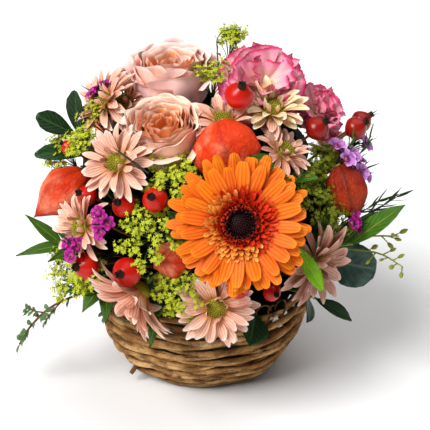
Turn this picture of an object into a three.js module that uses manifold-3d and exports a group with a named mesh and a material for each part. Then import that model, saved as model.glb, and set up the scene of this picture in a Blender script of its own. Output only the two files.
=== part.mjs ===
// A round vine basket filled with a dome of cut flowers, berries and leaves.
// Millimetres, +Z up. The basket stands on z = 0 with its middle on the Z axis, and its front faces -Y.
import * as THREE from 'three';
import { mergeVertices } from 'three/addons/utils/BufferGeometryUtils.js';
import Module from 'manifold-3d';

const wasm = await Module();
wasm.setup();

// Driving dimensions of the basket
const wireCount = 8;
const firstWire = -7;
const wireRadius = 0.85;
const vineCount = 7;
const vineRadius = 4.1;
const vineSpacing = 8.5;
const lowestVine = 13.2;
const matRadius = 50;
const matHeight = 8;
const matHub = 14;
const wallRadii = [59.5, 66.3, 71.8, 75.6, 77.3, 77.8, 76.6];

// Driving dimensions of the liner and the foam
const linerFloor = 10.3;
const linerTop = 60;
const linerRadii = [40.5, 62];
const linerWall = 1.2;
const linerLip = 1.4;
const foamTop = 88;
const foamRadii = [38.5, 50];
const foamShoulder = 36;

// Driving dimensions of the flowers
const focus = new THREE.Vector3(0, 0, 60);
const footAim = new THREE.Vector3(0, 0, 25);
const footDepth = 15;
const sprayReach = 50;
const clearance = 0.35;
const sleeve = 0.4;
const petalThickness = 0.75;
const gerberaRadius = 47;

const colours = {
  vine: '#8a6038', mat: '#7c5632', wire: '#8f9296', liner: '#2b2f2c', foam: '#2f4a2c', stem: '#5f8a3c',
  orange: '#f0720c', fringe: '#c22a12', eye: '#2a0c0c', rose: '#f3c0b0', peach: '#f3a070', pink: '#e87fa5',
  mum: '#e9b3a0', cream: '#ecd2ae', lantern: '#e0481c', hip: '#c01218', mantle: '#a9b53c',
  magenta: '#b8308f',
  lilac: '#c98ad0', leaf: '#2f5a2a', lime: '#7fa33a', gum: '#5c7468', twig: '#6b5a34',
};

// A draw between two values, the same ones on every run
let drawn = 20;
function draw(low, high) {
  drawn = (drawn * 16807) % 2147483647;
  return low + (high - low) * (drawn / 2147483647);
}
for (let i = 0; i < 5; i += 1) draw(0, 1);

const radians = THREE.MathUtils.degToRad;
const goldenTurn = 137.5;

// A direction by its azimuth from the front, growing to the right, and its elevation, in degrees
function direction([azimuth, elevation]) {
  const [a, e] = [radians(azimuth), radians(elevation)];
  return new THREE.Vector3(Math.sin(a) * Math.cos(e), -Math.cos(a) * Math.cos(e), Math.sin(e));
}

// A place by its azimuth, elevation and reach from the focus
function place([azimuth, elevation, reach]) {
  return focus.clone().addScaledVector(direction([azimuth, elevation]), reach);
}

// The frame of a head: its origin at a point, its +Z along a facing direction
function frameAt(position, facing, roll = 0) {
  const turn = new THREE.Quaternion().setFromUnitVectors(new THREE.Vector3(0, 0, 1), facing);
  turn.multiply(new THREE.Quaternion().setFromAxisAngle(new THREE.Vector3(0, 0, 1), radians(roll)));
  return new THREE.Matrix4().compose(position, turn, new THREE.Vector3(1, 1, 1));
}

// A frame whose +X runs along a leaf and whose +Z is as near as it can be to the given upper side
function frameAlong(position, along, upper) {
  const x = along.clone().normalize();
  const y = upper.clone().cross(x).normalize();
  return new THREE.Matrix4().makeBasis(x, y, x.clone().cross(y)).setPosition(position);
}

// The frame of a petal: turned round its head's axis, then moved out and up to its root
function petalFrame(head, azimuth, out, height, twist = 0) {
  return head.clone()
    .multiply(new THREE.Matrix4().makeRotationZ(radians(azimuth)))
    .multiply(new THREE.Matrix4().makeTranslation(out, 0, height))
    .multiply(new THREE.Matrix4().makeRotationX(radians(twist)));
}

// A closed geometry as a solid that can be joined and cut
function toSolid(geometry) {
  const bare = new THREE.BufferGeometry().setAttribute('position', geometry.getAttribute('position'));
  if (geometry.index) bare.setIndex(geometry.index);
  const merged = mergeVertices(bare, 1e-4);
  const points = merged.getAttribute('position');
  const corners = [];
  const corner = [new THREE.Vector3(), new THREE.Vector3(), new THREE.Vector3()];
  let volume = 0;
  for (let i = 0; i < merged.index.count; i += 3) {
    const face = [0, 1, 2].map((k) => merged.index.getX(i + k));
    if (new Set(face).size < 3) continue;
    corners.push(...face);
    face.forEach((index, k) => corner[k].fromBufferAttribute(points, index));
    volume += corner[0].dot(corner[1].cross(corner[2]));
  }
  if (volume < 0) corners.reverse();
  return new wasm.Manifold(new wasm.Mesh({
    numProp: 3,
    vertProperties: new Float32Array(points.array),
    triVerts: new Uint32Array(corners),
  }));
}

// The frame of a spray: on the way from the focus to its first head or tip
function sprayFrame([azimuth, elevation]) {
  return frameAt(place([azimuth, elevation, sprayReach]), direction([azimuth, elevation]));
}

function fuse(solids) {
  return wasm.Manifold.union(solids);
}

function toGeometry(solid) {
  const mesh = solid.getMesh();
  const geometry = new THREE.BufferGeometry();
  geometry.setAttribute('position', new THREE.BufferAttribute(new Float32Array(mesh.vertProperties), 3));
  geometry.setIndex(new THREE.BufferAttribute(new Uint32Array(mesh.triVerts), 1));
  const faceted = geometry.toNonIndexed();
  faceted.computeVertexNormals();
  return faceted;
}

// Moves every vertex of a geometry by a formula of its place and its number
function warp(geometry, move) {
  const points = geometry.getAttribute('position');
  const v = new THREE.Vector3();
  for (let i = 0; i < points.count; i += 1) {
    move(v.fromBufferAttribute(points, i), i);
    points.setXYZ(i, v.x, v.y, v.z);
  }
  return geometry;
}

// Bends a point of a flat blade, which runs along +X with its upper side towards +Z. The blade rises at an
// angle, curls on its way and may be cupped or waved
function bendBlade(v, { length, width, rise = 0, curl = 0, cup = 0, wave = 0 }) {
  const start = radians(rise);
  const bend = radians(curl || 0.01) / length;
  const angle = start + bend * v.x;
  const side = (2 * v.y) / width;
  const ripple = wave * Math.sin((9 * v.x) / length + (side > 0 ? 1.6 : 0)) * Math.abs(side);
  const lift = v.z + cup * side * side + ripple;
  const run = (Math.sin(angle) - Math.sin(start)) / bend;
  const climb = (Math.cos(start) - Math.cos(angle)) / bend;
  return v.set(run - Math.sin(angle) * lift, v.y, climb + Math.cos(angle) * lift);
}

// A blade's outline is a list of [part of the length, part of the half width] from its root to its tip
function blade(form) {
  const { outline, length, width } = form;
  const left = outline.map(([along, half]) => new THREE.Vector2(along * length, (half * width) / 2));
  const right = left.filter((point) => point.y > 0).map((point) => new THREE.Vector2(point.x, -point.y));
  const shape = new THREE.Shape([...left, ...right.reverse()]);
  const depth = form.thickness || petalThickness;
  const plate = new THREE.ExtrudeGeometry(shape, { depth, bevelEnabled: false })
    .translate(0, 0, -depth / 2);
  return warp(plate, (v) => bendBlade(v, form));
}

// A round rod along a curve
function rod(curve, radius, sides, steps) {
  const corner = (i) => radians((360 * i) / sides);
  const section = new THREE.Shape(Array.from({ length: sides }, (unused, i) => (
    new THREE.Vector2(Math.cos(corner(i)), Math.sin(corner(i))).multiplyScalar(radius)
  )));
  return new THREE.ExtrudeGeometry(section, { steps, extrudePath: curve, bevelEnabled: false });
}

// A point on the straight stretches of a rod, at a part of its length
function onRod(curve, steps, at) {
  const k = Math.min(Math.floor(at * steps), steps - 1);
  return curve.getPointAt(k / steps).lerp(curve.getPointAt((k + 1) / steps), at * steps - k);
}

function turned(profile, segments) {
  const points = profile.map(([reach, height]) => new THREE.Vector2(reach, height));
  return new THREE.LatheGeometry(points, segments).rotateX(Math.PI / 2);
}

const standing = new THREE.Matrix4();
const upright = new THREE.Vector3(0, 0, 1);
const bouquet = new THREE.Group();
const crowd = [];
const stemHoles = [];

// Whether two boxes lie further apart than the clearance
function apart(one, other) {
  const beyond = (low, high, k) => low.min[k] > high.max[k] + clearance;
  return [0, 1, 2].some((k) => beyond(one, other, k) || beyond(other, one, k));
}

// A piece that grows in the basket's frame. What is added to it later must stand clear of every other piece
class Growth {
  constructor(name, colour, frame, roughness = 0.6) {
    const material = new THREE.MeshStandardMaterial({ color: colours[colour], roughness, metalness: 0 });
    this.mesh = new THREE.Mesh(undefined, material);
    this.mesh.name = name;
    this.frame = frame;
    this.solids = [];
  }

  clear(solid) {
    const box = solid.boundingBox();
    return !crowd.some((near) => near.owner !== this && !apart(box, near.box)
      && near.solid.minGap(solid, clearance) < clearance);
  }

  add(solid) {
    this.solids.push(solid);
    crowd.push({ owner: this, solid, box: solid.boundingBox() });
  }

  // Puts a shape in a frame, clear of the rest or not at all
  set(geometry, frame) {
    const solid = toSolid(geometry).transform(frame.elements);
    if (!this.clear(solid)) return false;
    this.add(solid);
    return true;
  }

  // Adds a blade, bent further up in steps until it stands clear
  grow(frame, options, lifts = [0, 9, 18, 28, 38, 50]) {
    return lifts.some((lift) => this.set(blade({ ...options, rise: (options.rise || 0) + lift }), frame));
  }

  // Adds a stem from the foam to a point, swung aside in steps until it stands clear
  root(point, facing, radius, { sides = 5, steps = 4 } = {}) {
    const away = point.clone().sub(focus).normalize();
    const level = Math.hypot(away.x, away.y);
    const side = new THREE.Vector3(-away.y, away.x, 0).divideScalar(level || 1);
    const rise = side.clone().cross(away).negate();
    for (const swing of [0, 2, 4, 6, 9, 12, 16, 20]) {
      for (let turn = 0; turn < (swing === 0 ? 1 : 360); turn += 45) {
        const shift = side.clone().multiplyScalar(swing * Math.cos(radians(turn)))
          .addScaledVector(rise, swing * Math.sin(radians(turn)));
        const aim = away.clone().addScaledVector(shift, 0.022).normalize();
        aim.z = Math.max(aim.z, 0.16);
        const spread = Math.hypot(aim.x, aim.y);
        const reach = Math.min(foamRadii[1] / spread, (foamTop - focus.z) / aim.z);
        const entry = focus.clone().addScaledVector(aim, reach);
        const inward = entry.clone().sub(footAim).normalize();
        const foot = entry.clone().addScaledVector(inward, -footDepth);
        const span = point.distanceTo(entry);
        const first = entry.clone().addScaledVector(inward, span * 0.3).add(shift);
        const last = point.clone().addScaledVector(facing, -span * 0.4).addScaledVector(shift, 0.5);
        const path = new THREE.CubicBezierCurve3(foot, first, last, point);
        const solid = toSolid(rod(path, radius, sides, steps));
        if (!this.clear(solid)) continue;
        this.add(solid);
        const start = foot.clone().addScaledVector(inward, -sleeve);
        const around = new THREE.CubicBezierCurve3(start, first, last, point);
        stemHoles.push(toSolid(rod(around, radius + sleeve, sides, steps)));
        return (at) => onRod(path, steps, at);
      }
    }
    return null;
  }

  // Adds a side stem from a point of the main path to a point
  branch(stem, at, point, facing, radius, steps = 2) {
    const sides = 3;
    const from = stem(at);
    const span = point.distanceTo(from);
    const away = point.clone().sub(from).normalize();
    const side = new THREE.Vector3(-away.y, away.x, 0.01).normalize();
    const rise = side.clone().cross(away);
    for (const swing of [0, 2, 4, 7, 10, 14, 18]) {
      for (let turn = 0; turn < (swing === 0 ? 1 : 360); turn += 45) {
        const shift = side.clone().multiplyScalar(swing * Math.cos(radians(turn)))
          .addScaledVector(rise, swing * Math.sin(radians(turn)));
        const first = from.clone().addScaledVector(away, span * 0.35).add(shift);
        const last = point.clone().addScaledVector(facing, -span * 0.3).add(shift);
        const curve = new THREE.CubicBezierCurve3(from, first, last, point);
        if (!this.set(rod(curve, radius, sides, steps), standing)) continue;
        stemHoles.push(toSolid(rod(curve, radius + sleeve, sides, steps)));
        return (part) => onRod(curve, steps, part);
      }
    }
    return null;
  }

  finish() {
    this.mesh.geometry = toGeometry(fuse(this.solids).transform(this.frame.clone().invert().elements));
    this.frame.decompose(this.mesh.position, this.mesh.quaternion, this.mesh.scale);
    bouquet.add(this.mesh);
  }
}

// Basket
function vineWall(angle) {
  // the wall is a polygon with soft corners at the wires
  const part = ((((angle - radians(firstWire)) / (2 * Math.PI)) * wireCount) % 1 + 1) % 1;
  return 1 - 0.022 * Math.sin(Math.PI * part);
}

function vineRing(index) {
  const radius = wallRadii[index] - vineRadius;
  const height = lowestVine + index * vineSpacing;
  const [wobble, phase] = [draw(0.12, 0.3), draw(0, 6)];
  const ring = new THREE.TorusGeometry(radius, 1, 5, 2 * wireCount);
  ring.rotateZ(radians(firstWire - 90));
  warp(ring, (v) => {
    const angle = Math.atan2(v.y, v.x);
    const out = Math.hypot(v.x, v.y) - radius;
    const atWire = Math.cos((angle - radians(firstWire - 90)) * wireCount);
    const reach = radius * vineWall(angle + Math.PI / 2) + out * vineRadius * (0.92 + 0.08 * atWire);
    const lift = wobble * (1 - atWire) * Math.sin(3 * angle + phase);
    const half = vineRadius * (0.92 + 0.12 * atWire);
    v.set(reach * Math.cos(angle), reach * Math.sin(angle), height + lift + v.z * half);
  });
  return ring;
}

function baseMat() {
  // a flat hub and raised turns of vine up to the edge
  return turned([
    [0, 0], [matRadius - 3, 0], [matRadius, 2.6], [matRadius - 0.6, 6], [matRadius - 4, matHeight],
    [matRadius - 12, matHeight - 2.4], [matRadius - 20, matHeight], [matHub, matHeight - 2],
    [0, matHeight - 2],
  ], 2 * wireCount);
}

// The middle of a vine's round section at a wire, as its distance from the axis and its height
function vineMiddle(index) {
  return new THREE.Vector2(wallRadii[index] - vineRadius, lowestVine + index * vineSpacing);
}

// Each wire runs from the hub along the mat, up the inside of the wall and over the rim
function wires() {
  const off = vineRadius + wireRadius + 0.6;
  const floor = matHeight + 0.35 + wireRadius;
  const route = [2, matRadius * 0.5, matRadius - 8].map((reach) => new THREE.Vector2(reach, floor));
  for (let i = 0; i < vineCount; i += 1) {
    const next = vineMiddle(Math.min(i + 1, vineCount - 1));
    const along = next.sub(vineMiddle(Math.max(i - 1, 0))).normalize();
    route.push(vineMiddle(i).add(new THREE.Vector2(-along.y, along.x).multiplyScalar(off)));
  }
  const hook = [196, 130, 65, 0].map((turn) => {
    const around = new THREE.Vector2(Math.cos(radians(turn)), Math.sin(radians(turn)));
    return vineMiddle(vineCount - 1).add(around.multiplyScalar(off + 0.4));
  });
  return Array.from({ length: wireCount }, (unused, i) => {
    const side = direction([firstWire + (360 / wireCount) * i, 0]);
    const inSpace = (point) => side.clone().multiplyScalar(point.x).setZ(point.y);
    return [[route, 8], [hook, 3]].map(([points, steps]) => (
      rod(new THREE.CatmullRomCurve3(points.map(inSpace)), wireRadius, 3, steps)
    ));
  });
}

function liner() {
  const [low, high] = linerRadii;
  return turned([
    [0, linerFloor], [low, linerFloor], [high, linerTop - 2], [high + linerLip, linerTop - linerLip],
    [high + linerLip, linerTop],
    [high - linerWall, linerTop], [low - linerWall, linerFloor + linerWall], [0, linerFloor + linerWall],
  ], 12);
}

function foam() {
  const bottom = linerFloor + linerWall + 0.3;
  return turned([
    [0, bottom], [foamRadii[0], bottom], [foamRadii[1], foamShoulder], [foamRadii[1], foamTop - 8],
    [foamRadii[1] - 8, foamTop], [0, foamTop],
  ], 12);
}

const mat = new Growth('base_mat', 'mat', standing, 0.9);
mat.set(baseMat(), standing);
mat.finish();
for (let i = 0; i < vineCount; i += 1) {
  const ring = new Growth(`vine_ring_${i + 1}`, 'vine', standing, 0.9);
  ring.add(toSolid(vineRing(i)));
  ring.finish();
}
const wireFrame = new Growth('wire_frame', 'wire', standing, 0.4);
wires().flat().forEach((stretch) => wireFrame.add(toSolid(stretch)));
wireFrame.add(toSolid(new THREE.CylinderGeometry(4, 4, 2 * wireRadius - 0.2, 8).rotateX(Math.PI / 2)
  .translate(0, 0, matHeight + 0.35 + wireRadius)));
wireFrame.finish();
const cup = new Growth('liner', 'liner', standing, 0.5);
cup.add(toSolid(liner()));
cup.finish();
const block = new Growth('floral_foam', 'foam', standing, 0.95);
const foamBlock = toSolid(foam());

// Gerbera
const rayCount = 13;
const rayOutline = [[0, 0.42], [0.75, 1], [1, 0.45]];
const gerberaFace = direction([4, 25]);
const gerberaFrame = frameAt(place([11.6, 40.2, 149]), gerberaFace);
const rays = new Growth('gerbera_rays', 'orange', gerberaFrame, 0.55);
rays.set(turned([[9.9, -1.6], [14.6, -1.6], [14.6, 2], [9.9, 2], [9.9, -1.6]], 10), gerberaFrame);
const fringe = new Growth('gerbera_fringe', 'fringe', gerberaFrame, 0.6);
const fringeProfile = [[9.9, 2.5], [13.6, 2.7], [25, 8], [24, 9.2], [13, 4.6], [9.9, 5], [9.9, 2.5]];
fringe.set(warp(turned(fringeProfile, 22), (v, i) => {
  const short = Math.floor(i / fringeProfile.length) % 2 === 1 && Math.hypot(v.x, v.y) > 20;
  v.multiply(short ? new THREE.Vector3(0.62, 0.62, 0.7) : new THREE.Vector3(1, 1, 1));
}), gerberaFrame);
const eye = new Growth('gerbera_eye', 'eye', gerberaFrame, 0.8);
eye.set(turned([[0, -1.6], [8.6, -1.6], [8.7, 4], [6.8, 6.4], [3.4, 5.6], [0, 4.4]], 9), gerberaFrame);
const gerberaStem = new Growth('gerbera_stem', 'stem', gerberaFrame, 0.6);
gerberaStem.set(turned([[0, -9], [3, -8.4], [9.5, -3.4], [10, -2], [0, -2]], 7), gerberaFrame);
const gerberaBack = new THREE.Vector3(0, 0, -8).applyMatrix4(gerberaFrame);
gerberaStem.root(gerberaBack, gerberaFace, 2.4, { sides: 6, steps: 5 });
for (let i = 0; i < rayCount; i += 1) {
  const turn = (360 / rayCount) * i;
  rays.grow(petalFrame(gerberaFrame, turn + draw(-2, 2), 12.5, 0.4, draw(-6, 6)), {
    outline: rayOutline, length: gerberaRadius - 12.5 - draw(0, 2.5), width: 12, rise: 1, curl: draw(-2, 4),
    cup: 0.5,
  }, [0, 6, 12, 18, 26]);
  rays.grow(petalFrame(gerberaFrame, turn + 180 / rayCount + draw(-2, 2), 12, 1.4, draw(-6, 6)), {
    outline: rayOutline, length: gerberaRadius - 15.5 - draw(0, 3), width: 11.4, rise: 10,
    curl: draw(-5, 3),
    cup: 0.6,
  }, [0, 6, 12]);
}

// Roses: three rings of petals, one in the other, round a closed heart. Each profile point belongs to a
// ring
const petalsInRing = 5;
const roseProfile = [
  [0, 0.6, 0], [7, 0.6, 0], [20, 7, 0], [25.5, 18, 0], [29, 33, 0], [27, 32.6, 0], [21, 14, 0],
  [20.6, 38, 1], [18.6, 37.6, 1], [13, 19, 1], [12.6, 40, 2], [10.8, 39.6, 2], [6, 25, 2], [5, 38, 3],
  [0, 36, 3],
];

function roseHead() {
  return warp(turned(roseProfile, 3 * petalsInRing), (v, i) => {
    const [reach, height, ring] = roseProfile[i % roseProfile.length];
    const edge = ring < 3 && height > 30;
    const step = (Math.floor(i / roseProfile.length) + ring) % 3;
    const open = edge ? [0.95, 1, 1.07][step] : 1;
    v.set(v.x * open, v.y * open, height - (edge ? [4.5, 0, 1.2][step] * (1 - 0.2 * ring) : 0));
    if (reach === 0) v.set(0, 0, height);
  });
}

// The petals and the stem with its calyx are separate pieces, or one body where fused
function rose(name, colour, at, face, size, roll, fused = false) {
  const head = frameAt(place(at), direction(face), roll);
  const scaled = head.clone().scale(new THREE.Vector3(size, size, size));
  const petals = new Growth(`${name}_petals`, colour, head);
  petals.set(roseHead(), scaled);
  const stem = fused ? petals : new Growth(`${name}_stem`, 'stem', head);
  const seat = fused ? 1.5 : 0.2;
  stem.set(turned([[0, -7], [4.6, -3.5], [4, seat], [0, seat]], 6), scaled);
  stem.root(new THREE.Vector3(0, 0, -6).applyMatrix4(scaled), direction(face), 1.9);
  return { petals, stem };
}

const roses = [
  rose('rose_top', 'rose', [-85, 81, 137], [-10, 87], 1.03, 20),
  rose('rose_low', 'peach', [-29, 66, 124], [-14, 72], 0.88, 50),
  rose('rose_back', 'rose', [158, 52, 118], [158, 55], 0.92, 10, true),
];

// Carnations: a narrow cup and three frilled rings of petals. A profile point with 1 lies on a frilled edge
const carnationProfile = [
  [0, -0.8, 0], [0.13, -0.76, 0], [0.2, -0.14, 0], [0.7, -0.02, 0], [1, 0.14, 1], [0.97, 0.2, 1],
  [0.34, 0.18, 0], [0.78, 0.5, 1], [0.74, 0.55, 1], [0.22, 0.34, 0], [0.42, 0.76, 1], [0.37, 0.8, 1],
  [0.12, 0.55, 0], [0, 0.62, 0],
];

function carnation(name, at, face, size) {
  const head = frameAt(place(at), direction(face));
  const flower = new Growth(name, 'pink', head);
  const profile = carnationProfile.map(([reach, height]) => [reach * size, height * size]);
  const frills = warp(turned(profile, 14), (v, i) => {
    if (carnationProfile[i % profile.length][2] === 0) return;
    const fold = Math.floor(i / profile.length) % 2 === 0 ? 1 : -1;
    v.set(v.x * (1 + 0.05 * fold), v.y * (1 + 0.05 * fold), v.z + 0.055 * size * fold);
  });
  flower.set(frills, head);
  flower.root(new THREE.Vector3(0, 0, -0.74 * size).applyMatrix4(head), direction(face), 1.5);
  return flower;
}

const carnations = [
  carnation('carnation_top', [70, 76, 160], [10, 66], 24),
  carnation('carnation_right', [84, 58, 150], [80, 42], 19),
];

// Daisy chrysanthemums: a calyx, two layers of long petals and a domed disc in one turned body. A profile
// point is [reach, height], and the petals of the layer named third take the place of its outer points
const petalsInLayer = 6;
const mumOutline = [[0, 0.7], [1, 1.04]];
const mumGap = 8.6;
const mumProfile = [
  [0, -7], [7.4, -1.4], [mumGap, 0, 0], [mumGap, 0, 0], [7.6, 0.5], [mumGap, 0, 1], [mumGap, 0, 1],
  [6.6, 2.6], [0, 4.8],
];
const mumLayers = [
  { turn: 180 / petalsInLayer, height: -0.6, rise: 3, part: 1, curl: -6 },
  { turn: 0, height: 1.2, rise: 27, part: 0.86, curl: 8 },
];
const mumRoot = 6;
const commonRadius = 26;

function mumPetals(radius) {
  return mumLayers.map((layer) => Array.from({ length: petalsInLayer }, (unused, i) => ({
    turn: (360 / petalsInLayer) * i + layer.turn + draw(-4, 4),
    length: (radius - mumRoot) * layer.part * draw(0.92, 1),
    rise: layer.rise + draw(-5, 5),
    curl: layer.curl, out: mumRoot, height: layer.height, width: 11.5, cup: 1,
  })));
}

// A petal has three stations round the head: the gap before it and the two corners of its tip
function mumHead(layers) {
  const stations = 3 * petalsInLayer;
  return warp(turned(mumProfile.map(([reach, height]) => [reach, height]), stations), (v, i) => {
    const row = i % mumProfile.length;
    const [reach, height, layer] = mumProfile[row];
    const column = Math.floor(i / mumProfile.length) % stations;
    const turn = (360 / stations) * column;
    if (layer === undefined) {
      v.set(reach, 0, height).applyAxisAngle(upright, radians(turn));
      return;
    }
    const upper = mumProfile[row - 1][2] === layer ? petalThickness / 2 : -petalThickness / 2;
    const station = (column + layer) % 3;
    const petal = layers[layer][Math.floor((column + layer) / 3) % petalsInLayer];
    if (station === 0) {
      const gap = petal.turn - 180 / petalsInLayer;
      v.set(mumGap, 0, petal.height + 0.4 + upper).applyAxisAngle(upright, radians(gap));
      return;
    }
    const along = petal.length * (station === 1 ? 1 : 0.93);
    const width = Math.min(petal.width, 0.85 * (petal.out + along * Math.cos(radians(petal.rise))));
    bendBlade(v.set(along, (station - 1.5) * width, upper), petal);
    v.x += petal.out;
    v.z += petal.height;
    v.applyAxisAngle(upright, radians(petal.turn));
  });
}

// Keeps the room that a head needs until its petals are made
function daisyHead(flower, head, radius) {
  const solid = toSolid(turned([[0, -7], [8, -1.6], [8, 3], [0, 5.4]], 8)).transform(head.elements);
  crowd.push({ owner: flower, solid, box: solid.boundingBox() });
  return { flower, head, radius };
}

// A head smaller than the common radius is smaller in all its sizes
function daisy(name, colour, at, face, radius) {
  const size = Math.min(1, radius / commonRadius);
  const head = frameAt(place(at), direction(face), draw(0, 40)).scale(new THREE.Vector3(size, size, size));
  const flower = new Growth(name, colour, head);
  const made = daisyHead(flower, head, radius / size);
  flower.root(new THREE.Vector3(0, 0, -6).applyMatrix4(head), direction(face), 1.4, { sides: 3, steps: 3 });
  return made;
}

const daisies = [
  daisy('mum_left_upper', 'mum', [-35, 53, 151], [-32, 38], 28),
  daisy('mum_left_top', 'mum', [-77, 66, 158], [-75, 52], 24),
  daisy('mum_left', 'mum', [-46, 36, 131], [-52, 12], 26),
  daisy('mum_low_left', 'mum', [-21, 22, 108], [-32, -10], 31),
  daisy('mum_low_front', 'mum', [5, 18, 101], [2, -6], 30),
  daisy('mum_right', 'mum', [40, 28, 122], [50, -6], 30),
  daisy('mum_top', 'mum', [13, 68, 152], [0, 68], 23),
  daisy('mum_cream', 'cream', [46, 67, 158], [14, 52], 25),
  daisy('mum_small', 'mum', [39, 57, 148], [34, 36], 18),
];

// Lantern fruits: a ribbed papery husk that closes in a point
function lantern(name, at, face, width, length) {
  const head = frameAt(place(at), direction(face));
  const fruit = new Growth(name, 'lantern', head);
  const husk = new THREE.SphereGeometry(1, 10, 5).rotateX(Math.PI / 2);
  fruit.set(warp(husk, (v) => {
    const rib = 1 + 0.06 * Math.cos(5 * Math.atan2(v.y, v.x));
    const narrowed = rib * (v.z > 0 ? 1 - 0.12 * v.z : 1) * (width / 2);
    const pointed = v.z > 0.95 ? 1.28 : 1;
    v.set(v.x * narrowed, v.y * narrowed, v.z * pointed * (length / 2));
  }), head);
  const base = new THREE.Vector3(0, 0, -length / 2 + 1).applyMatrix4(head);
  fruit.root(base, direction(face), 1, { sides: 3, steps: 3 });
  return fruit;
}

const lanterns = [
  lantern('lantern_top', [12, 58, 143], [-100, 60], 39, 36),
  lantern('lantern_left', [-65, 41, 134], [-72, -38], 31, 40),
  lantern('lantern_right', [60, 41, 142], [40, -66], 27, 36),
  lantern('lantern_front', [-12, 34, 112], [-15, 20], 24, 32),
  lantern('lantern_back', [-135, 44, 130], [-135, 30], 32, 36),
];

// Rose hips: glossy berries with a crown of dry sepals, several on one stem
const hipSprays = [
  ['hips_top', [[22, 69, 169, 9.6], [170, 72, 158, 8.4]]],
  ['hips_right', [[98, 46, 160, 8], [71, 50, 166, 7.8], [56, 57, 160, 8.4]]],
  ['hips_left', [[-17, 47, 142, 8.2], [-30, 45, 132, 8.2], [-24, 28, 128, 9.4]]],
  ['hips_far_left', [[-47, 44, 138, 7.2], [-42, 26, 120, 8.6], [-68, 51, 150, 5]]],
  ['hips_front', [[13, 25, 110, 8], [28, 20, 108, 7]]],
];

function berry(spray, at, radius) {
  const face = direction([at[0], at[1] - 12]);
  const head = frameAt(place(at), face);
  const ball = new THREE.SphereGeometry(radius, 6, 4).rotateX(Math.PI / 2).scale(1, 1, 1.06);
  const crown = new THREE.ConeGeometry(radius * 0.38, 4, 4).rotateX(-Math.PI / 2);
  spray.set(ball, head);
  spray.set(crown.translate(0, 0, radius * 1.06 + 0.3), head);
  return { face, point: new THREE.Vector3(0, 0, -radius * 0.9).applyMatrix4(head) };
}

const hips = hipSprays.map(([name, berries]) => {
  const spray = new Growth(name, 'hip', sprayFrame(berries[0]), 0.2);
  const heads = berries.map((row) => berry(spray, row.slice(0, 3), row[3]));
  const main = spray.root(heads[0].point, heads[0].face, 1.1, { sides: 3, steps: 3 });
  heads.slice(1).forEach(({ point, face }, i) => {
    spray.branch(main, 0.3 + 0.08 * i, point, face, 0.9);
  });
  return spray;
});

// Ways to bend a petal further up and shorten it, as [degrees, part of the length], and the last resort
const petalTries = [
  [0, 1], [8, 1], [16, 1], [26, 1], [0, 0.75], [14, 0.75], [28, 0.75], [40, 0.75],
  [0, 0.55], [24, 0.55], [44, 0.55],
];
const layerStep = 20;
const steepest = 66;
const shortestReach = 9.6;

// The length at which a petal's tip just stands outside the gaps between the petals
function shortest(petal, rise) {
  return (shortestReach - petal.out) / Math.cos(radians(rise));
}

// The petals of a chrysanthemum, each bent further up until it stands clear of the rest, or cut short.
// A head that still has no room gets shorter petals all round, and at last a smaller size
function dressDaisy({ flower, head, radius }) {
  const layers = mumPetals(radius);
  layers.forEach((layer, upper) => layer.forEach((petal, i) => {
    const below = upper ? [layers[0][i], layers[0][(i + petalsInLayer - 1) % petalsInLayer]] : [];
    petal.rise = Math.max(petal.rise, ...below.map((other) => other.rise + layerStep));
    const frame = petalFrame(head, petal.turn, petal.out, petal.height);
    const stands = ([lift, part]) => {
      const tried = { ...petal, outline: mumOutline, rise: petal.rise + lift, length: petal.length * part };
      return tried.rise < steepest && tried.length > shortest(petal, tried.rise)
        && flower.clear(toSolid(blade(tried)).transform(frame.elements));
    };
    const found = petalTries.find(stands);
    petal.rise = found ? petal.rise + found[0] : Math.min(petal.rise, steepest);
    petal.length = found ? petal.length * found[1] : shortest(petal, petal.rise);
  }));
  return [1, 0.86, 0.72, 0.6].some((size) => [1, 0.85, 0.7, 0.5, 0.3].some((part) => {
    const fitted = layers.map((layer) => layer.map((petal) => (
      { ...petal, length: Math.max(petal.length * part, shortest(petal, petal.rise)) }
    )));
    return flower.set(mumHead(fitted), head.clone().scale(new THREE.Vector3(size, size, size)));
  }));
}

// A spray of two chrysanthemums behind, on one stem
const backHeads = [[[178, 34, 125], [178, 18], 28], [[116, 38, 130], [116, 22], 28]];
const backSpray = new Growth('mum_spray_back', 'mum', sprayFrame([150, 40]));
const backDaisies = backHeads.map(([at, face, radius]) => (
  daisyHead(backSpray, frameAt(place(at), direction(face)), radius)
));
const backFaces = backHeads.map(([, face]) => direction(face));
const backPoints = backDaisies.map(({ head }) => new THREE.Vector3(0, 0, -6).applyMatrix4(head));
const backStem = backSpray.root(backPoints[0], backFaces[0], 1.4, { sides: 3, steps: 3 });
backSpray.branch(backStem, 0.2, backPoints[1], backFaces[1], 1.2, 3);

// Wax flowers: a shallow trumpet with five lobes, and a needle leaf at each
function trumpet(radius) {
  return warp(new THREE.ConeGeometry(radius, radius * 0.7, 10).rotateX(-Math.PI / 2), (v) => {
    const lobe = Math.round((Math.atan2(v.y, v.x) * 5) / Math.PI) % 2 === 0;
    v.multiply(lobe ? new THREE.Vector3(1, 1, 1) : new THREE.Vector3(0.55, 0.55, 1));
  });
}

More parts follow.
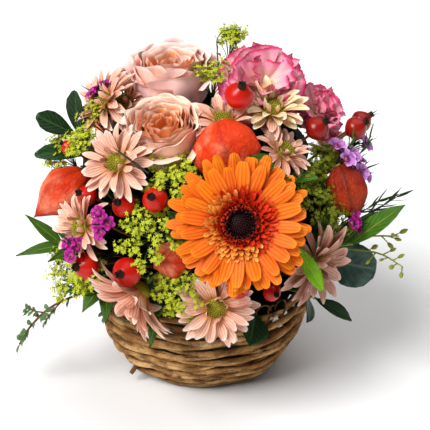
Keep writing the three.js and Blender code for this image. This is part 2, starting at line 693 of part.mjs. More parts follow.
const waxSprays = [
  ['wax_left', 'magenta', [[-34, 39, 141], [-58, 41, 146], [-50, 25, 136]]],
  ['wax_right', 'lilac', [[64, 48, 154], [70, 43, 150], [76, 48, 157], [56, 33, 140]]],
];
const waxRadius = 5;
const waxPlants = waxSprays.map(([name, colour, flowers]) => {
  const spray = new Growth(name, colour, sprayFrame(flowers[0]));
  const tips = flowers.map(place);
  const faces = flowers.map(direction);
  const main = spray.root(tips[0], faces[0], 0.7, { sides: 3, steps: 3 });
  tips.forEach((tip, i) => {
    const stem = i === 0 ? main : spray.branch(main, 0.25 + 0.1 * (i % 3), tip, faces[i], 0.5);
    const head = frameAt(tip, faces[i], 70 * i);
    [1, 0.8, 0.6].some((part) => spray.set(trumpet(waxRadius * part), head));
    if (i % 2 === 0) {
      const needle = new THREE.ConeGeometry(0.8, 13, 3).rotateZ(-Math.PI / 2).translate(5.5, 0, 0);
      spray.set(needle.rotateY(-0.7).rotateZ(i), frameAt(stem(0.8), faces[i]));
    }
  });
  return spray;
});

// Lady's mantle: clouds of small starry florets on thin stems
const mantleSprays = [
  ['mantle_left', [[-13, 54, 146, 15, 4], [-19, 39, 137, 16, 4]]],
  ['mantle_low', [[-5, 24, 106, 15, 3]]],
  ['mantle_top', [[20, 80, 158, 8, 2], [60, 86, 178, 8, 2]]],
  ['mantle_far_left', [[-78, 48, 146, 10, 2], [-66, 15, 106, 11, 2]]],
  ['mantle_right', [[48, 48, 140, 13, 3], [52, 38, 134, 11, 2]]],
  ['mantle_back', [[-158, 46, 136, 14, 4]]],
];
const tuftRadius = 8;
const cloudDepth = 17;
const knotRadius = 3.4;

// A tuft of six starry florets: points that stand out of a small middle, with a flat face below for a stalk
function tuft() {
  const points = warp(new THREE.OctahedronGeometry(1, 1), (v) => {
    const floret = Math.max(Math.abs(v.x), Math.abs(v.y), Math.abs(v.z)) > 0.9;
    v.multiplyScalar(tuftRadius * (floret ? 1 : 0.42));
  });
  const face = new THREE.Vector3(1, 1, 1).normalize();
  const downward = new THREE.Quaternion().setFromUnitVectors(face, new THREE.Vector3(0, 0, -1));
  return points.applyQuaternion(downward);
}

const mantles = mantleSprays.map(([name, clouds]) => {
  const spray = new Growth(name, 'mantle', sprayFrame(clouds[0]));
  let main = null;
  clouds.forEach(([azimuth, elevation, reach]) => {
    const out = direction([azimuth, elevation]);
    const base = place([azimuth, elevation, reach - cloudDepth]);
    if (main) spray.branch(main, 0.25, base, out, 0.6);
    else main = spray.root(base, out, 0.8, { sides: 3, steps: 3 });
  });
  return { spray, clouds };
});

// Leafy stems: each leaf runs from its stem to a tip, its upper side outwards
const oval = [[0, 0], [0.25, 0.8], [0.62, 1], [1, 0]];
const narrow = [[0, 0], [0.4, 1], [1, 0]];
const round = [[0, 0.1], [0.2, 0.75], [0.55, 1], [0.88, 0.7], [1, 0]];

// Each twig names its end, the way it faces there and its leaves: [part of the twig, tip, width, curl]
function leafyStem(name, colour, radius, outline, twigs) {
  const plant = new Growth(name, colour, sprayFrame(twigs[0].end));
  let main = null;
  twigs.forEach(({ end, face, leaves }) => {
    const tip = place(end);
    const path = main ? plant.branch(main, 0.22, tip, direction(face), radius, 3)
      : plant.root(tip, direction(face), radius, { sides: 3, steps: 4 });
    main = main || path;
    leaves.forEach(([at, to, width, curl = -25]) => {
      const root = path(at);
      const along = place(to).sub(root);
      const upper = root.clone().add(along).sub(focus);
      plant.grow(frameAlong(root, along, upper), {
        outline, length: along.length(), width, rise: -curl / 2, curl, cup: 1, wave: 0.5, thickness: 0.8,
      }, [0, 8, -8, 16, -16, 26, -26, 38]);
    });
  });
  return plant;
}

const leafSprays = [
  leafyStem('leaves_left', 'leaf', 0.9, oval, [
    { end: [-79, 54, 146], face: [-78, 45], leaves: [
      [1, [-80, 50, 173], 13], [0.97, [-78, 60, 172], 12], [0.92, [-66, 59, 160], 12],
      [0.85, [-74, 43, 158], 12],
      [0.5, [-94, 52, 130], 26], [0.4, [-60, 50, 116], 24],
    ] },
  ]),
  leafyStem('leaves_low_left', 'leaf', 0.8, narrow, [
    { end: [-68, 25, 112], face: [-70, 20], leaves: [
      [1, [-76, 28, 140], 8], [0.98, [-70, 18, 140], 8], [0.8, [-60, 22, 126], 8],
      [0.7, [-48, 18, 112], 14],
      [0.5, [-82, 24, 112], 20],
    ] },
    { end: [-22, 9, 80], face: [-22, -10], leaves: [[1, [-21, -1, 97], 7], [0.9, [-34, 6, 92], 7]] },
  ]),
  leafyStem('leaves_right', 'lime', 1, oval, [
    { end: [59, 27, 128], face: [60, 20], leaves: [
      [0.98, [61, 32, 172], 13, -14], [0.9, [74, 30, 140], 9], [0.45, [70, 44, 122], 26],
      [0.5, [48, 36, 116], 24],
    ] },
    { end: [32, 33, 134], face: [32, 0], leaves: [[1, [35, 20, 137], 14, -16]] },
  ]),
  leafyStem('eucalyptus', 'gum', 1, round, [
    { end: [70, 20, 98], face: [70, 10], leaves: [
      [1, [71, 14, 128], 27, -16], [0.8, [84, 24, 118], 22, -16], [0.7, [94, 16, 104], 20, -16],
    ] },
  ]),
  leafyStem('leaves_front', 'leaf', 1, oval, [
    { end: [26, 10, 78], face: [24, -10], leaves: [
      [1, [18, 1, 98], 20, -30], [0.85, [8, 8, 90], 12, -20],
    ] },
    { end: [57, 8, 92], face: [57, -10], leaves: [[1, [58, 1, 117], 12, -20], [0.85, [44, 4, 100], 11]] },
  ]),
  leafyStem('leaves_centre', 'leaf', 0.8, oval, [
    { end: [-6, 40, 120], face: [-6, 40], leaves: [
      [1, [-4, 44, 150], 9, -20], [0.95, [-13, 40, 143], 9], [0.85, [-1, 36, 134], 8],
      [0.45, [14, 44, 120], 26],
    ] },
    { end: [26, 55, 140], face: [26, 55], leaves: [
      [1, [36, 50, 153], 9], [0.95, [16, 56, 155], 9], [0.5, [40, 66, 124], 26], [0.45, [-10, 66, 120], 24],
    ] },
  ]),
  leafyStem('leaves_back', 'leaf', 1, oval, [
    { end: [160, 30, 108], face: [160, 20], leaves: [
      [1, [166, 30, 138], 14], [0.95, [150, 34, 136], 13], [0.85, [172, 20, 118], 12],
      [0.45, [140, 52, 116], 26], [0.4, [-176, 40, 112], 24],
    ] },
    { end: [-134, 26, 106], face: [-134, 15], leaves: [
      [1, [-130, 26, 136], 13], [0.9, [-146, 26, 130], 13], [0.45, [-124, 48, 118], 26],
    ] },
  ]),
];

// Twig: a thin trailing stem with pairs of small leaves, over the rim at the left
const twig = new Growth('twig', 'twig', sprayFrame([-58, 4]));
const twigStart = place([-56, 12, 92]);
const twigPath = twig.root(twigStart, direction([-66, -14]), 0.8, { sides: 4, steps: 4 });
const twigEnd = place([-73, -12, 137]);
const trail = twig.branch(twigPath, 0.98, twigEnd, direction([-75, 10]), 0.6, 3);
[0.3, 0.6, 0.9].forEach((at, pair) => {
  [1, -1].forEach((side) => {
    const aside = new THREE.Vector3(2, -4 * side, 8 * side - pair * 0.4);
    const along = twigEnd.clone().sub(twigStart).setLength(7).add(aside);
    twig.grow(frameAlong(trail(at), along, new THREE.Vector3(-0.3, -1, 0.6)), {
      outline: narrow, length: 11, width: 4, rise: 4, curl: -8, thickness: 0.7,
    });
  });
});

// Petals, once every head, stem and leaf has its place
[...daisies, ...backDaisies].forEach(dressDaisy);

// The tufts fill what room is left
mantles.forEach(({ spray, clouds }) => {
  clouds.forEach(([azimuth, elevation, reach, spread, count]) => {
    const base = place([azimuth, elevation, reach - cloudDepth]);
    const middle = frameAt(base, direction([azimuth, elevation]));
    spray.set(new THREE.OctahedronGeometry(knotRadius, 0), middle);
    let grown = 0;
    for (let i = 0; i < count * 3 && grown < count; i += 1) {
      const turn = radians(goldenTurn * i + draw(-20, 20));
      const away = spread * Math.sqrt(((i % count) + 0.3) / count);
      const height = cloudDepth + draw(-4, 2);
      const fitted = [0, 3, -4, 6, -8, 9].some((raise) => {
        const point = new THREE.Vector3(away * Math.cos(turn), away * Math.sin(turn), height + raise);
        point.applyMatrix4(middle);
        const outward = point.clone().sub(base).normalize();
        const head = toSolid(tuft()).transform(frameAt(point, outward, 40 * i).elements);
        const stalk = toSolid(rod(new THREE.LineCurve3(base, point), 0.5, 3, 1));
        if (!spray.clear(head) || !spray.clear(stalk)) return false;
        spray.add(head);
        spray.add(stalk);
        return true;
      });
      if (fitted) grown += 1;
    }
  });
});

// The foam gets its plain holes, and every growth is joined into one body
block.add(foamBlock.subtract(fuse(stemHoles)));
block.finish();
[
  ...new Set(roses.flatMap(({ petals, stem }) => [petals, stem])), rays, fringe, eye, gerberaStem,
  ...carnations, ...daisies.map(({ flower }) => flower), backSpray,
  ...lanterns, ...hips, ...leafSprays, twig, ...waxPlants, ...mantles.map(({ spray }) => spray),
].forEach((growth) => growth.finish());

bouquet.name = 'flower_basket';
export default bouquet;
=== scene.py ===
# %% [markdown]
# A round vine basket holds a dome of cut flowers: one large orange gerbera, garden roses, carnations, daisy
# chrysanthemums, papery lantern fruits, rose hips, lady's mantle, wax flowers and leaves. The solids of the
# basket and of every flower come as a fixed frame. Each is dressed here with a finer piece in the same place.
# %% Load the frame
import random
from math import atan2, cos, hypot, pi, radians, sin, sqrt

import bmesh
import bpy
from mathutils import Matrix, Quaternion, Vector, noise
from mathutils.geometry import interpolate_bezier


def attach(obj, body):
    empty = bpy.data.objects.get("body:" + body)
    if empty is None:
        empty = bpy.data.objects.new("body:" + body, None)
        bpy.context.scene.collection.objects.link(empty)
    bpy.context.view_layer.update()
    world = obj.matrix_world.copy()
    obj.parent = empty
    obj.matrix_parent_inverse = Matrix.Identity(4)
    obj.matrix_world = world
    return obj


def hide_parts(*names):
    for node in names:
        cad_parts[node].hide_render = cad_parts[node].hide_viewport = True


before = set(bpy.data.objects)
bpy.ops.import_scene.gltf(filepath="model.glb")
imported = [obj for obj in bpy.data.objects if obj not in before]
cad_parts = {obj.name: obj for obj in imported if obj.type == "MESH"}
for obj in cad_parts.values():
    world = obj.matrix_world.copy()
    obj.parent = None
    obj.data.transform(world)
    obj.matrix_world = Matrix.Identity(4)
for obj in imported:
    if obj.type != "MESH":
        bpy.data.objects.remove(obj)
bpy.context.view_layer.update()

# %% [markdown]
# Every flower grows outwards from one point deep in the basket, so a place is given the way a florist sees
# it: how far round from the front, how high, and how far out. Lengths are in millimetres and become metres.
# %% Places and directions
MM = 0.001
FOCUS = Vector((0, 0, 60)) * MM
UP = Vector((0, 0, 1))
dice = random.Random(7)
noise.seed_set(7)
GOLDEN_TURN = 137.5
EXACT_GOLDEN_TURN = 137.508


def direction(azimuth, elevation):
    a, e = radians(azimuth), radians(elevation)
    return Vector((sin(a) * cos(e), -cos(a) * cos(e), sin(e)))


def place(azimuth, elevation, reach):
    return FOCUS + direction(azimuth, elevation) * reach * MM


def head_frame(position, facing, roll=0.0):
    """The matrix of a head at a position, with its +Z along a facing direction."""
    turn = UP.rotation_difference(facing) @ Quaternion(UP, radians(roll))
    return Matrix.Translation(position) @ turn.to_matrix().to_4x4()


def raised(matrix, height):
    """The matrix moved along its own +Z by a height in millimetres."""
    return matrix @ Matrix.Translation((0, 0, height * MM))


def leaf_frame(position, along, upper):
    """The matrix of a leaf: its +X runs along it, its +Z is as near as it can be to its upper side."""
    x = along.normalized()
    y = upper.cross(x).normalized()
    return Matrix.Translation(position) @ Matrix((x, y, x.cross(y))).transposed().to_4x4()


print("front of the basket looks along", [round(v, 2) for v in direction(0, 0)])

# %% [markdown]
# A material is a tree of nodes, and its maths reads best as plain formulas. The class below wraps the output
# of a node, so that a + b adds a Math node. One method makes any other node from its type and its sockets.
# %% Shader maths as formulas


class Shade:
    """One output of a node, or a whole material, that further nodes grow from."""

    def __init__(self, tree, socket=None):
        self.tree = tree
        self.socket = socket

    def node(self, kind, settings=None, out=0, **sockets):
        """Adds a node. A socket is named, with _ for a space, or counted, such as i0 for the first."""
        made = self.tree.nodes.new("ShaderNode" + kind)
        for name, value in (settings or {}).items():
            setattr(made, name, value)
        for name, value in sockets.items():
            socket = made.inputs[int(name[1:]) if name[1:].isdigit() else name.replace("_", " ")]
            if isinstance(value, Shade):
                self.tree.links.new(value.socket, socket)
            else:
                socket.default_value = value
        return Shade(self.tree, made.outputs[out])

    def math(self, operation, first, second=0.0):
        return self.node("Math", {"operation": operation}, i0=first, i1=second)

    def __add__(self, other):
        return self.math("ADD", self, other)

    def __sub__(self, other):
        return self.math("SUBTRACT", self, other)

    def __rsub__(self, other):
        return self.math("SUBTRACT", other, self)

    def __mul__(self, other):
        return self.math("MULTIPLY", self, other)

    def __rmul__(self, other):
        return self.math("MULTIPLY", other, self)

    def __pow__(self, other):
        return self.math("POWER", self, other)

    def clamped(self):
        return self.node("Clamp", Value=self)

    def ease(self, low, high):
        """Goes softly from 0 at low to 1 at high."""
        return self.node("MapRange", {"interpolation_type": "SMOOTHSTEP"}, Value=self, From_Min=low,
                         From_Max=high)

    def blend(self, first, second):
        """A colour between two, by this value."""
        pair = {"i6": first if isinstance(first, Shade) else (*first, 1),
                "i7": second if isinstance(second, Shade) else (*second, 1)}
        return self.node("Mix", {"data_type": "RGBA"}, out=2, i0=self, **pair)

    def space(self):
        """The place on the object, in metres."""
        return self.node("TexCoord", out=3)

    def cloud(self, scale, **more):
        """Noise that stays with the place on the object."""
        return self.node("TexNoise", Scale=scale, Vector=self.space(), **more)


def ink(code):
    """A colour written as the usual six digits, as the linear numbers that shaders use."""
    parts = [int(code[i:i + 2], 16) / 255 for i in (0, 2, 4)]
    return tuple(v / 12.92 if v <= 0.04045 else ((v + 0.055) / 1.055) ** 2.4 for v in parts)


# %% [markdown]
# Petals, leaves and vines all carry two maps. One, called strip, runs along the piece from root to tip and
# across it. The other, called tone, gives each petal its own number, so that no two look quite alike.
# %% A finish with its shader


def finish(name, paint, roughness=0.55, coat=0.0, through=0.0):
    """A material whose colour and height come from paint(shade, along, across, tone)."""
    material = bpy.data.materials.new(name)
    material.use_nodes = True
    tree = material.node_tree
    surface = tree.nodes["Principled BSDF"]
    start = Shade(tree)
    strip = start.node("UVMap", {"uv_map": "strip"})
    tone = start.node("UVMap", {"uv_map": "tone"})
    along, across = [start.node("SeparateXYZ", out=i, Vector=strip) for i in (0, 1)]
    chance = start.node("SeparateXYZ", out=0, Vector=tone)
    colour, height, depth = paint(start, along, across, chance)
    tree.links.new(colour.socket, surface.inputs["Base Color"])
    if height is not None:
        bump = start.node("Bump", Height=height, Strength=0.6, Distance=depth * MM)
        tree.links.new(bump.socket, surface.inputs["Normal"])
    surface.inputs["Roughness"].default_value = roughness
    surface.inputs["Coat Weight"].default_value = coat
    surface.inputs["Specular IOR Level"].default_value = 0.25
    surface.inputs["Subsurface Weight"].default_value = through
    surface.inputs["Subsurface Scale"].default_value = 1.5 * MM
    return material


def veins(shade, along, across, count, spread):
    """Fine grooves along a petal: waves across it, a little bent by noise."""
    spot = shade.node("CombineXYZ", X=along * 2.0, Y=across * 6.0)
    wander = shade.node("TexNoise", Scale=3.0, Vector=spot)
    return shade.math("SINE", (across + wander * spread) * (count * 2 * pi)) * 0.5 + 0.5


print("shader helpers ready")

# %% [markdown]
# Nearly everything on a flower is a thin blade: petals, leaves, sepals. A blade starts as a flat grid from
# Blender's own grid operator. Its points are then moved: narrowed to the outline, bent along its length,
# cupped across it and ruffled at its edge. The grid keeps clean rows of faces, which subdivide well.
# %% A blade from a grid


def start_mesh():
    """An empty mesh under construction, with the two maps that the finishes read."""
    bm = bmesh.new()
    bm.loops.layers.uv.new("strip")
    bm.loops.layers.uv.new("tone")
    return bm


def faces_of(verts):
    """The faces that touch some points."""
    return {face for v in verts for face in v.link_faces}


def map_faces(bm, faces, spot, tone, index=0):
    """Gives faces their place on the strip, their tone and their finish."""
    strip, tones = bm.loops.layers.uv["strip"], bm.loops.layers.uv["tone"]
    for face in faces:
        face.material_index = index
        face.smooth = True
        for loop in face.loops:
            loop[strip].uv = spot(loop.vert)
            loop[tones].uv = (tone, 0.5)


def bend(u, length, rise, curl):
    """Where a blade of a length is at part u of it, and which way it points there."""
    start, turn = radians(rise), radians(curl or 0.01)
    angle = start + turn * u
    run = (sin(angle) - sin(start)) / turn * length
    climb = (cos(start) - cos(angle)) / turn * length
    return run, climb, angle


def blade(bm, matrix, length, width, outline, rows=7, columns=4, rise=0.0, curl=0.0, cup=0.0, groove=0.0,
          ruffle=0.0, waves=3.0, tip=0.12, notch=0.0, tooth=0.0, tone=None, index=0):
    """Adds a blade that runs along +X of a matrix, its upper side towards +Z. Lengths in millimetres."""
    tone = dice.random() if tone is None else tone
    phase = tone * 40
    made = bmesh.ops.create_grid(bm, x_segments=rows, y_segments=columns, size=1)["verts"]
    grid = {v: ((v.co.x + 1) / 2, v.co.y) for v in made}
    map_faces(bm, faces_of(made), lambda v: (grid[v][0], grid[v][1] / 2 + 0.5), tone, index)
    for v, (u, side) in grid.items():
        share = outline(u)
        half = share * width / 2
        back = tip * length * side * side * u ** 3 + notch * (1 - abs(side)) ** 2 * u ** 8
        back += tooth * cos(side * pi * columns / 2) * u ** 8
        run, climb, angle = bend(u, length, rise, curl)
        lift = cup * side * side * share * min(1, 3 * u) * width / 10
        lift += groove * cos(4 * pi * side) * u * (1 - 0.5 * u) * share
        lift += ruffle * sin(waves * side * pi + phase) * u * u
        x = run - back * cos(angle) - sin(angle) * lift
        z = climb - back * sin(angle) + cos(angle) * lift
        v.co = matrix @ (Vector((x, side * half, z)) * MM)


def petal_matrix(head, turn, out, height, roll=0.0):
    """Turned round the head's axis, then moved out and up to the petal's root."""
    root = head @ Matrix.Rotation(radians(turn), 4, "Z") @ Matrix.Translation(Vector((out, 0, height)) * MM)
    return root @ Matrix.Rotation(radians(roll), 4, "X")


def between(values, u):
    """The value at part u of a list of values that are evenly spaced."""
    step = min(u, 0.9999) * (len(values) - 1)
    k = int(step)
    return values[k] + (values[k + 1] - values[k]) * (step - k)


def outline_of(*values):
    return lambda u: between(values, u)


print("a gerbera ray 40 % along is", outline_of(0.3, 0.8, 1, 0.9, 0.5)(0.4), "of its full width")

# %% [markdown]
# Stems, wires and twigs are round rods along a way through space. A circle is placed at the first point and
# its edges are extruded from point to point, which is what a designer does with the extrude key.
# %% A rod through points


def smooth_way(points, steps):
    """Points along a smooth curve that runs through the given ones."""
    ends = [points[0] * 2 - points[1], *points, points[-1] * 2 - points[-2]]
    way = []
    for k in range(1, len(ends) - 2):
        a, b, c, d = ends[k - 1:k + 3]
        for j in range(steps):
            t = j / steps
            way.append(0.5 * ((2 * b) + (c - a) * t + (2 * a - 5 * b + 4 * c - d) * t * t
                              + (3 * b - a - 3 * c + d) * t ** 3))
    return [*way, points[-1]]


def rod(bm, way, radius, sides=6, taper=1.0, index=0, rough=0.0):
    """Adds a rod along a way given in metres. Its radius in millimetres goes to taper times it at the end."""
    tone = dice.random()
    frames = []
    forward = (way[1] - way[0]).normalized()
    turn = UP.rotation_difference(forward)
    for k, point in enumerate(way):
        ahead = (way[min(k + 1, len(way) - 1)] - way[max(k - 1, 0)]).normalized()
        turn = forward.rotation_difference(ahead) @ turn
        forward = ahead
        size = radius * (1 + (taper - 1) * k / (len(way) - 1))
        size *= 1 + rough * noise.noise(point * 250)
        frames.append(Matrix.Translation(point) @ turn.to_matrix().to_4x4() @ Matrix.Scale(size * MM, 4))
    made = bmesh.ops.create_circle(bm, cap_ends=True, segments=sides, radius=1, matrix=frames[0])["verts"]
    map_faces(bm, faces_of(made), lambda v: (0, 0.5), tone, index)
    ring = list({edge for v in made for edge in v.link_edges})
    order = {v: k / sides for k, v in enumerate(made)}
    last = len(frames) - 1
    for k in range(1, len(frames)):
        new = bmesh.ops.extrude_edge_only(bm, edges=ring)["geom"]
        verts = [item for item in new if isinstance(item, bmesh.types.BMVert)]
        walls = [item for item in new if isinstance(item, bmesh.types.BMFace)]
        touched = {edge for v in verts for edge in v.link_edges}
        ring = [edge for edge in touched if all(v in verts for v in edge.verts)]
        bmesh.ops.transform(bm, matrix=frames[k] @ frames[k - 1].inverted(), verts=verts)
        for v in verts:
            near = min(made, key=lambda old: (frames[k - 1].inverted() @ old.co
                                              - frames[k].inverted() @ v.co).length)
            order[v] = order[near]
        map_faces(bm, walls, lambda v, k=k: ((k if v in verts else k - 1) / last, order[v]), tone, index)
        made = verts
    end = bmesh.ops.contextual_create(bm, geom=ring)["faces"]
    map_faces(bm, end, lambda v: (1, 0.5), tone, index)


print("a smooth way in 4 steps between 3 points has", len(smooth_way([FOCUS, UP, FOCUS], 4)), "points")

# %% [markdown]
# A finished piece becomes an object at the origin, with its place in its mesh. It rides on the basket's one
# body, and the solids it stands for are hidden. Thin blades get their thickness from a Solidify modifier.
# %% From mesh to finished piece
counted = []


def add_object(name, data):
    """An object at the origin, in the scene."""
    made = bpy.data.objects.new(name, data)
    bpy.context.scene.collection.objects.link(made)
    return made


def object_from(bm, name, finishes):
    """Ends the construction of a mesh, and makes an object of it."""
    mesh = bpy.data.meshes.new(name)
    bm.to_mesh(mesh)
    bm.free()
    for material in finishes:
        mesh.materials.append(material)
    return add_object(name, mesh)


def dress(bm, name, finishes, nodes, smooth=0, thickness=0.0):
    """Makes the piece and lets it stand for its solids."""
    if thickness == 0:
        bmesh.ops.recalc_face_normals(bm, faces=bm.faces)
    piece = object_from(bm, name, finishes)
    if smooth:
        soft = piece.modifiers.new("soft", "SUBSURF")
        soft.levels = soft.render_levels = smooth
    if thickness:
        thick = piece.modifiers.new("thick", "SOLIDIFY")
        thick.thickness = thickness * MM
        thick.offset = 0
    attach(piece, "root")
    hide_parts(*nodes)
    triangles = sum(len(face.vertices) - 2 for face in piece.data.polygons)
    triangles *= 4 ** smooth * (2 if thickness else 1)
    counted.append(triangles)
    print(f"{name}: about {triangles} triangles")


print("pieces dressed so far:", len(counted))

# %% [markdown]
# The camera comes first, so that every look at the work is from the photograph's side: a little from above,
# from far enough away that the dome isn't distorted.
# %% Camera, floor and soft light
PHOTO_PIXELS, FOCAL_PIXELS, SENSOR = 430, 1143, 36
CAMERA_AWAY = 0.8
target = Vector((8, 0, 112.5)) * MM


def look_at_target(name, data, azimuth, elevation, away):
    """A camera or light that looks at the middle of the bouquet, from a direction and a distance away."""
    made, towards = add_object(name, data), direction(azimuth, elevation)
    made.location = target + towards * away
    made.rotation_mode = "QUATERNION"
    made.rotation_quaternion = (-towards).to_track_quat("-Z", "Y")
    return made


camera_data = bpy.data.cameras.new("camera")
camera = look_at_target("camera", camera_data, 0, 24, CAMERA_AWAY)
camera_data.sensor_width = SENSOR
camera_data.lens = SENSOR * FOCAL_PIXELS / PHOTO_PIXELS
bpy.context.scene.camera = camera

floor_mesh = start_mesh()
bmesh.ops.create_grid(floor_mesh, x_segments=1, y_segments=1, size=40)
floor_finish = bpy.data.materials.new("floor")
floor_finish.use_nodes = True
floor_surface = floor_finish.node_tree.nodes["Principled BSDF"]
floor_surface.inputs["Base Color"].default_value = (0.95, 0.95, 0.95, 1)
floor_surface.inputs["Roughness"].default_value = 0.9
floor = object_from(floor_mesh, "floor", [floor_finish])


def sun(name, azimuth, elevation, strength, width):
    """A distant soft light; its width in degrees softens the shadows."""
    data = bpy.data.lights.new(name, "SUN")
    data.energy = strength
    data.angle = radians(width)
    look_at_target(name, data, azimuth, elevation, 1)


sun("window", -44, 46, 3.7, 34)
sun("far_window", 120, 74, 1.2, 60)
world = bpy.data.worlds.new("studio")
world.use_nodes = True
world.node_tree.nodes["Background"].inputs["Color"].default_value = (1, 1, 1, 1)
world.node_tree.nodes["Background"].inputs["Strength"].default_value = 0.12
bpy.context.scene.world = world
bpy.context.scene.view_settings.view_transform = "Standard"
print("camera at", [round(v, 3) for v in camera.location])

# %% [markdown]
# Petals share one way of colouring: a root colour that turns into the body of the petal, a tip colour, and
# fine darker lines along it. Where the root is darker, it is partly the petal's own colour and partly
# painted shade for the crowded middle where petals overlap. The lines are partly veins and partly painted
# shade in the petal's grooves. Each petal's tone shifts it a little towards a second body colour.
# %% Petal finishes


def petal(name, colours, count, lines, reach=0.4, tip_from=0.75, **surface):
    """A finish for petals. Its colours are those of the root, the body, the tip, the lines and a second body
    colour. Count and lines are the number and strength of its lines; the rest are parts of its length."""
    root, body, tip, line, second = colours.split()

    def paint(shade, along, across, tone):
        stripes = veins(shade, along, across, count, 0.05)
        main = tone.blend(ink(body), ink(second))
        cloud = shade.cloud(220.0)
        main = (cloud * 0.5).blend(main, ink(tip))
        # Where the root colour is darker, it is partly painted shade where petals overlap near the middle.
        colour = along.ease(0.0, reach).blend(ink(root), main)
        colour = along.ease(tip_from, 1.0).blend(colour, ink(tip))
        # The lines are partly veins and partly painted shade in the petal's grooves.
        colour = ((stripes ** 3) * lines * (1 - along * 0.6)).blend(colour, ink(line))
        return colour, stripes + cloud * 0.6, 0.25
    return finish(name, paint, **surface)


ray_finish = petal("gerbera ray", "b00c02 e85a00 f08408 b02400 f07400", 4, 0.8, 0.6, 0.82)
red_floret = petal("gerbera inner ray", "740a06 c41c04 e63c08 700804 d83004", 1, 0.2, 0.5)
# Gold-tipped florets, given only to the side of the ring towards the main light, as painted light.
gold_floret_on_lit_side = petal("gerbera gold ray", "a01404 e05808 fab850 900c04 ec7010", 1, 0.1, 0.45, 0.45)
eye_finish = petal("gerbera eye", "0a0204 180608 3a0c0e 060102 100305", 1, 0.3)
rose_finish = petal("rose petal", "f8c088 ff9c28 fde4de e09080 fcd0c8", 5, 0.16, 0.3, 0.88, through=0.08)
peach_finish = petal("peach rose petal",
                     "f48c18 ff9818 fde0cc dc7020 fccab2", 5, 0.2, 0.3, 0.88, through=0.08)
carnation_finish = petal("carnation petal", "fdf0d0 f49cbc d41c62 e46c98 fac4d0", 4, 0.45, 1.0, 0.86)
mum_finish = petal("daisy petal", "e49c4c f2b89c fce2d4 a85c48 eca884", 4, 0.8, 0.45)
# The daisy petal darkened as painted shade, for the head on the shaded right side.
daisy_petal_painted_shade = petal("dusky daisy petal", "a86c40 c89480 e6bcaa 744434 b87c64", 4, 0.8, 0.4)
cream_finish = petal("cream daisy petal", "c8902c f2d89c fdf2d4 b48840 f6cca4", 4, 0.75, 0.4)
button_finish = petal("daisy button", "5a5a10 8c8c1c b4a834 4c480c 9c9824", 1, 0.3, roughness=0.7)
hip_finish = petal("rose hip", "a00c04 bc0a04 b41806 8c0604 c81806", 1, 0.1, 0.2, roughness=0.3, coat=0.12)
dark_hip = petal("dark rose hip", "500604 7c0c06 901408 380404 981408", 1, 0.1, 0.2, roughness=0.3, coat=0.12)
crown_finish = petal("hip crown", "4a3020 2c1a12 1a0e0a 140a06 3c261a", 2, 0.3, roughness=0.85)
# The mantle floret darkened as painted shade, for the clouds on the shaded right side.
mantle_floret_painted_shade = petal("shaded mantle floret", "4c5808 788010 98a01c 445008 606c10", 1, 0.2, roughness=0.6)
froth_finish = petal("mantle floret", "8c9c14 bcc420 d8dc48 88981c a0b01c", 1, 0.2, roughness=0.6)
wax_finish = petal("magenta wax flower", "58062c b0148c cc34a4 68044c 940c70", 3, 0.4, 0.5, roughness=0.4)
lilac_finish = petal("lilac wax flower", "702878 c878d0 ecbcec 803c90 b45cc0", 3, 0.3, 0.5, roughness=0.4)
cup_finish = petal("wax flower cup", "5c1838 8c2c5c b05080 601030 7c244c", 2, 0.2, roughness=0.35)
stem_finish = petal("green stem", "4a6a20 5f7f2c 6f8f38 3c5418 55742a", 3, 0.4, roughness=0.6)
brown_stem = petal("woody stem", "4a3018 6a4422 7a5028 382010 5c3a1c", 3, 0.4, roughness=0.7)


def leaf(dark, light, rib, count=7, mottle=0.35):
    """A painter for leaves: a pale rib down the middle, side veins that lean forward, and mottling."""
    def paint(shade, along, across, tone):
        side = shade.math("ABSOLUTE", across - 0.5)
        lean = shade.math("SINE", (along * count - side * 5.0) * 2 * pi) * 0.5 + 0.5
        spots = shade.cloud(160.0, Detail=4.0)
        colour = (spots.ease(0.3, 0.7) * mottle + tone * (1 - mottle)).clamped().blend(ink(dark), ink(light))
        colour = ((lean ** 6) * 0.2).blend(colour, ink(rib))
        middle = 1 - side.ease(0.01, 0.05)
        colour = (middle * (0.75 - along * 0.4)).blend(colour, ink(rib))
        return colour, middle * 1.5 - lean * 0.5 + spots * 0.5, 0.3
    return paint


def husk(dark, body, pale):
    """A painter for lanterns: five darker ribs, a net of fine veins between them and paler faded patches."""
    def paint(shade, along, across, tone):
        patch = shade.cloud(38.0, Detail=3.0)
        ribs = shade.math("ABSOLUTE", shade.math("SINE", (across + 0.02 * patch) * 5 * pi)) ** 24
        cells = shade.node("CombineXYZ", X=along * 9.0 + patch * 1.5, Y=across * 34.0)
        net = shade.node("TexVoronoi", {"feature": "DISTANCE_TO_EDGE"}, Scale=1.0, Vector=cells)
        veins_here = 1 - net.ease(0.02, 0.16)
        colour = patch.ease(0.47, 0.62).blend(ink(body), ink(pale))
        colour = (tone * 0.3).blend(colour, ink(dark))
        colour = (veins_here * 0.28).blend(colour, ink(dark))
        colour = (ribs * 0.5).blend(colour, ink(dark))
        colour = along.ease(0.86, 1.0).blend(colour, ink(dark))
        return colour, patch * 1.5 - veins_here * 0.6 + ribs, 0.5
    return paint


lantern_finish = finish("lantern husk", husk("a01a02", "e23a06", "f88c64"))
dark_lantern = finish("dark lantern husk", husk("3c0602", "901e04", "b83808"))
dark_leaf = finish("dark leaf", leaf("0c2410", "1c4018", "4c7038"), 0.42)
bright_leaf = finish("bright leaf", leaf("1c400c", "3a6814", "8c9c30"), 0.45)
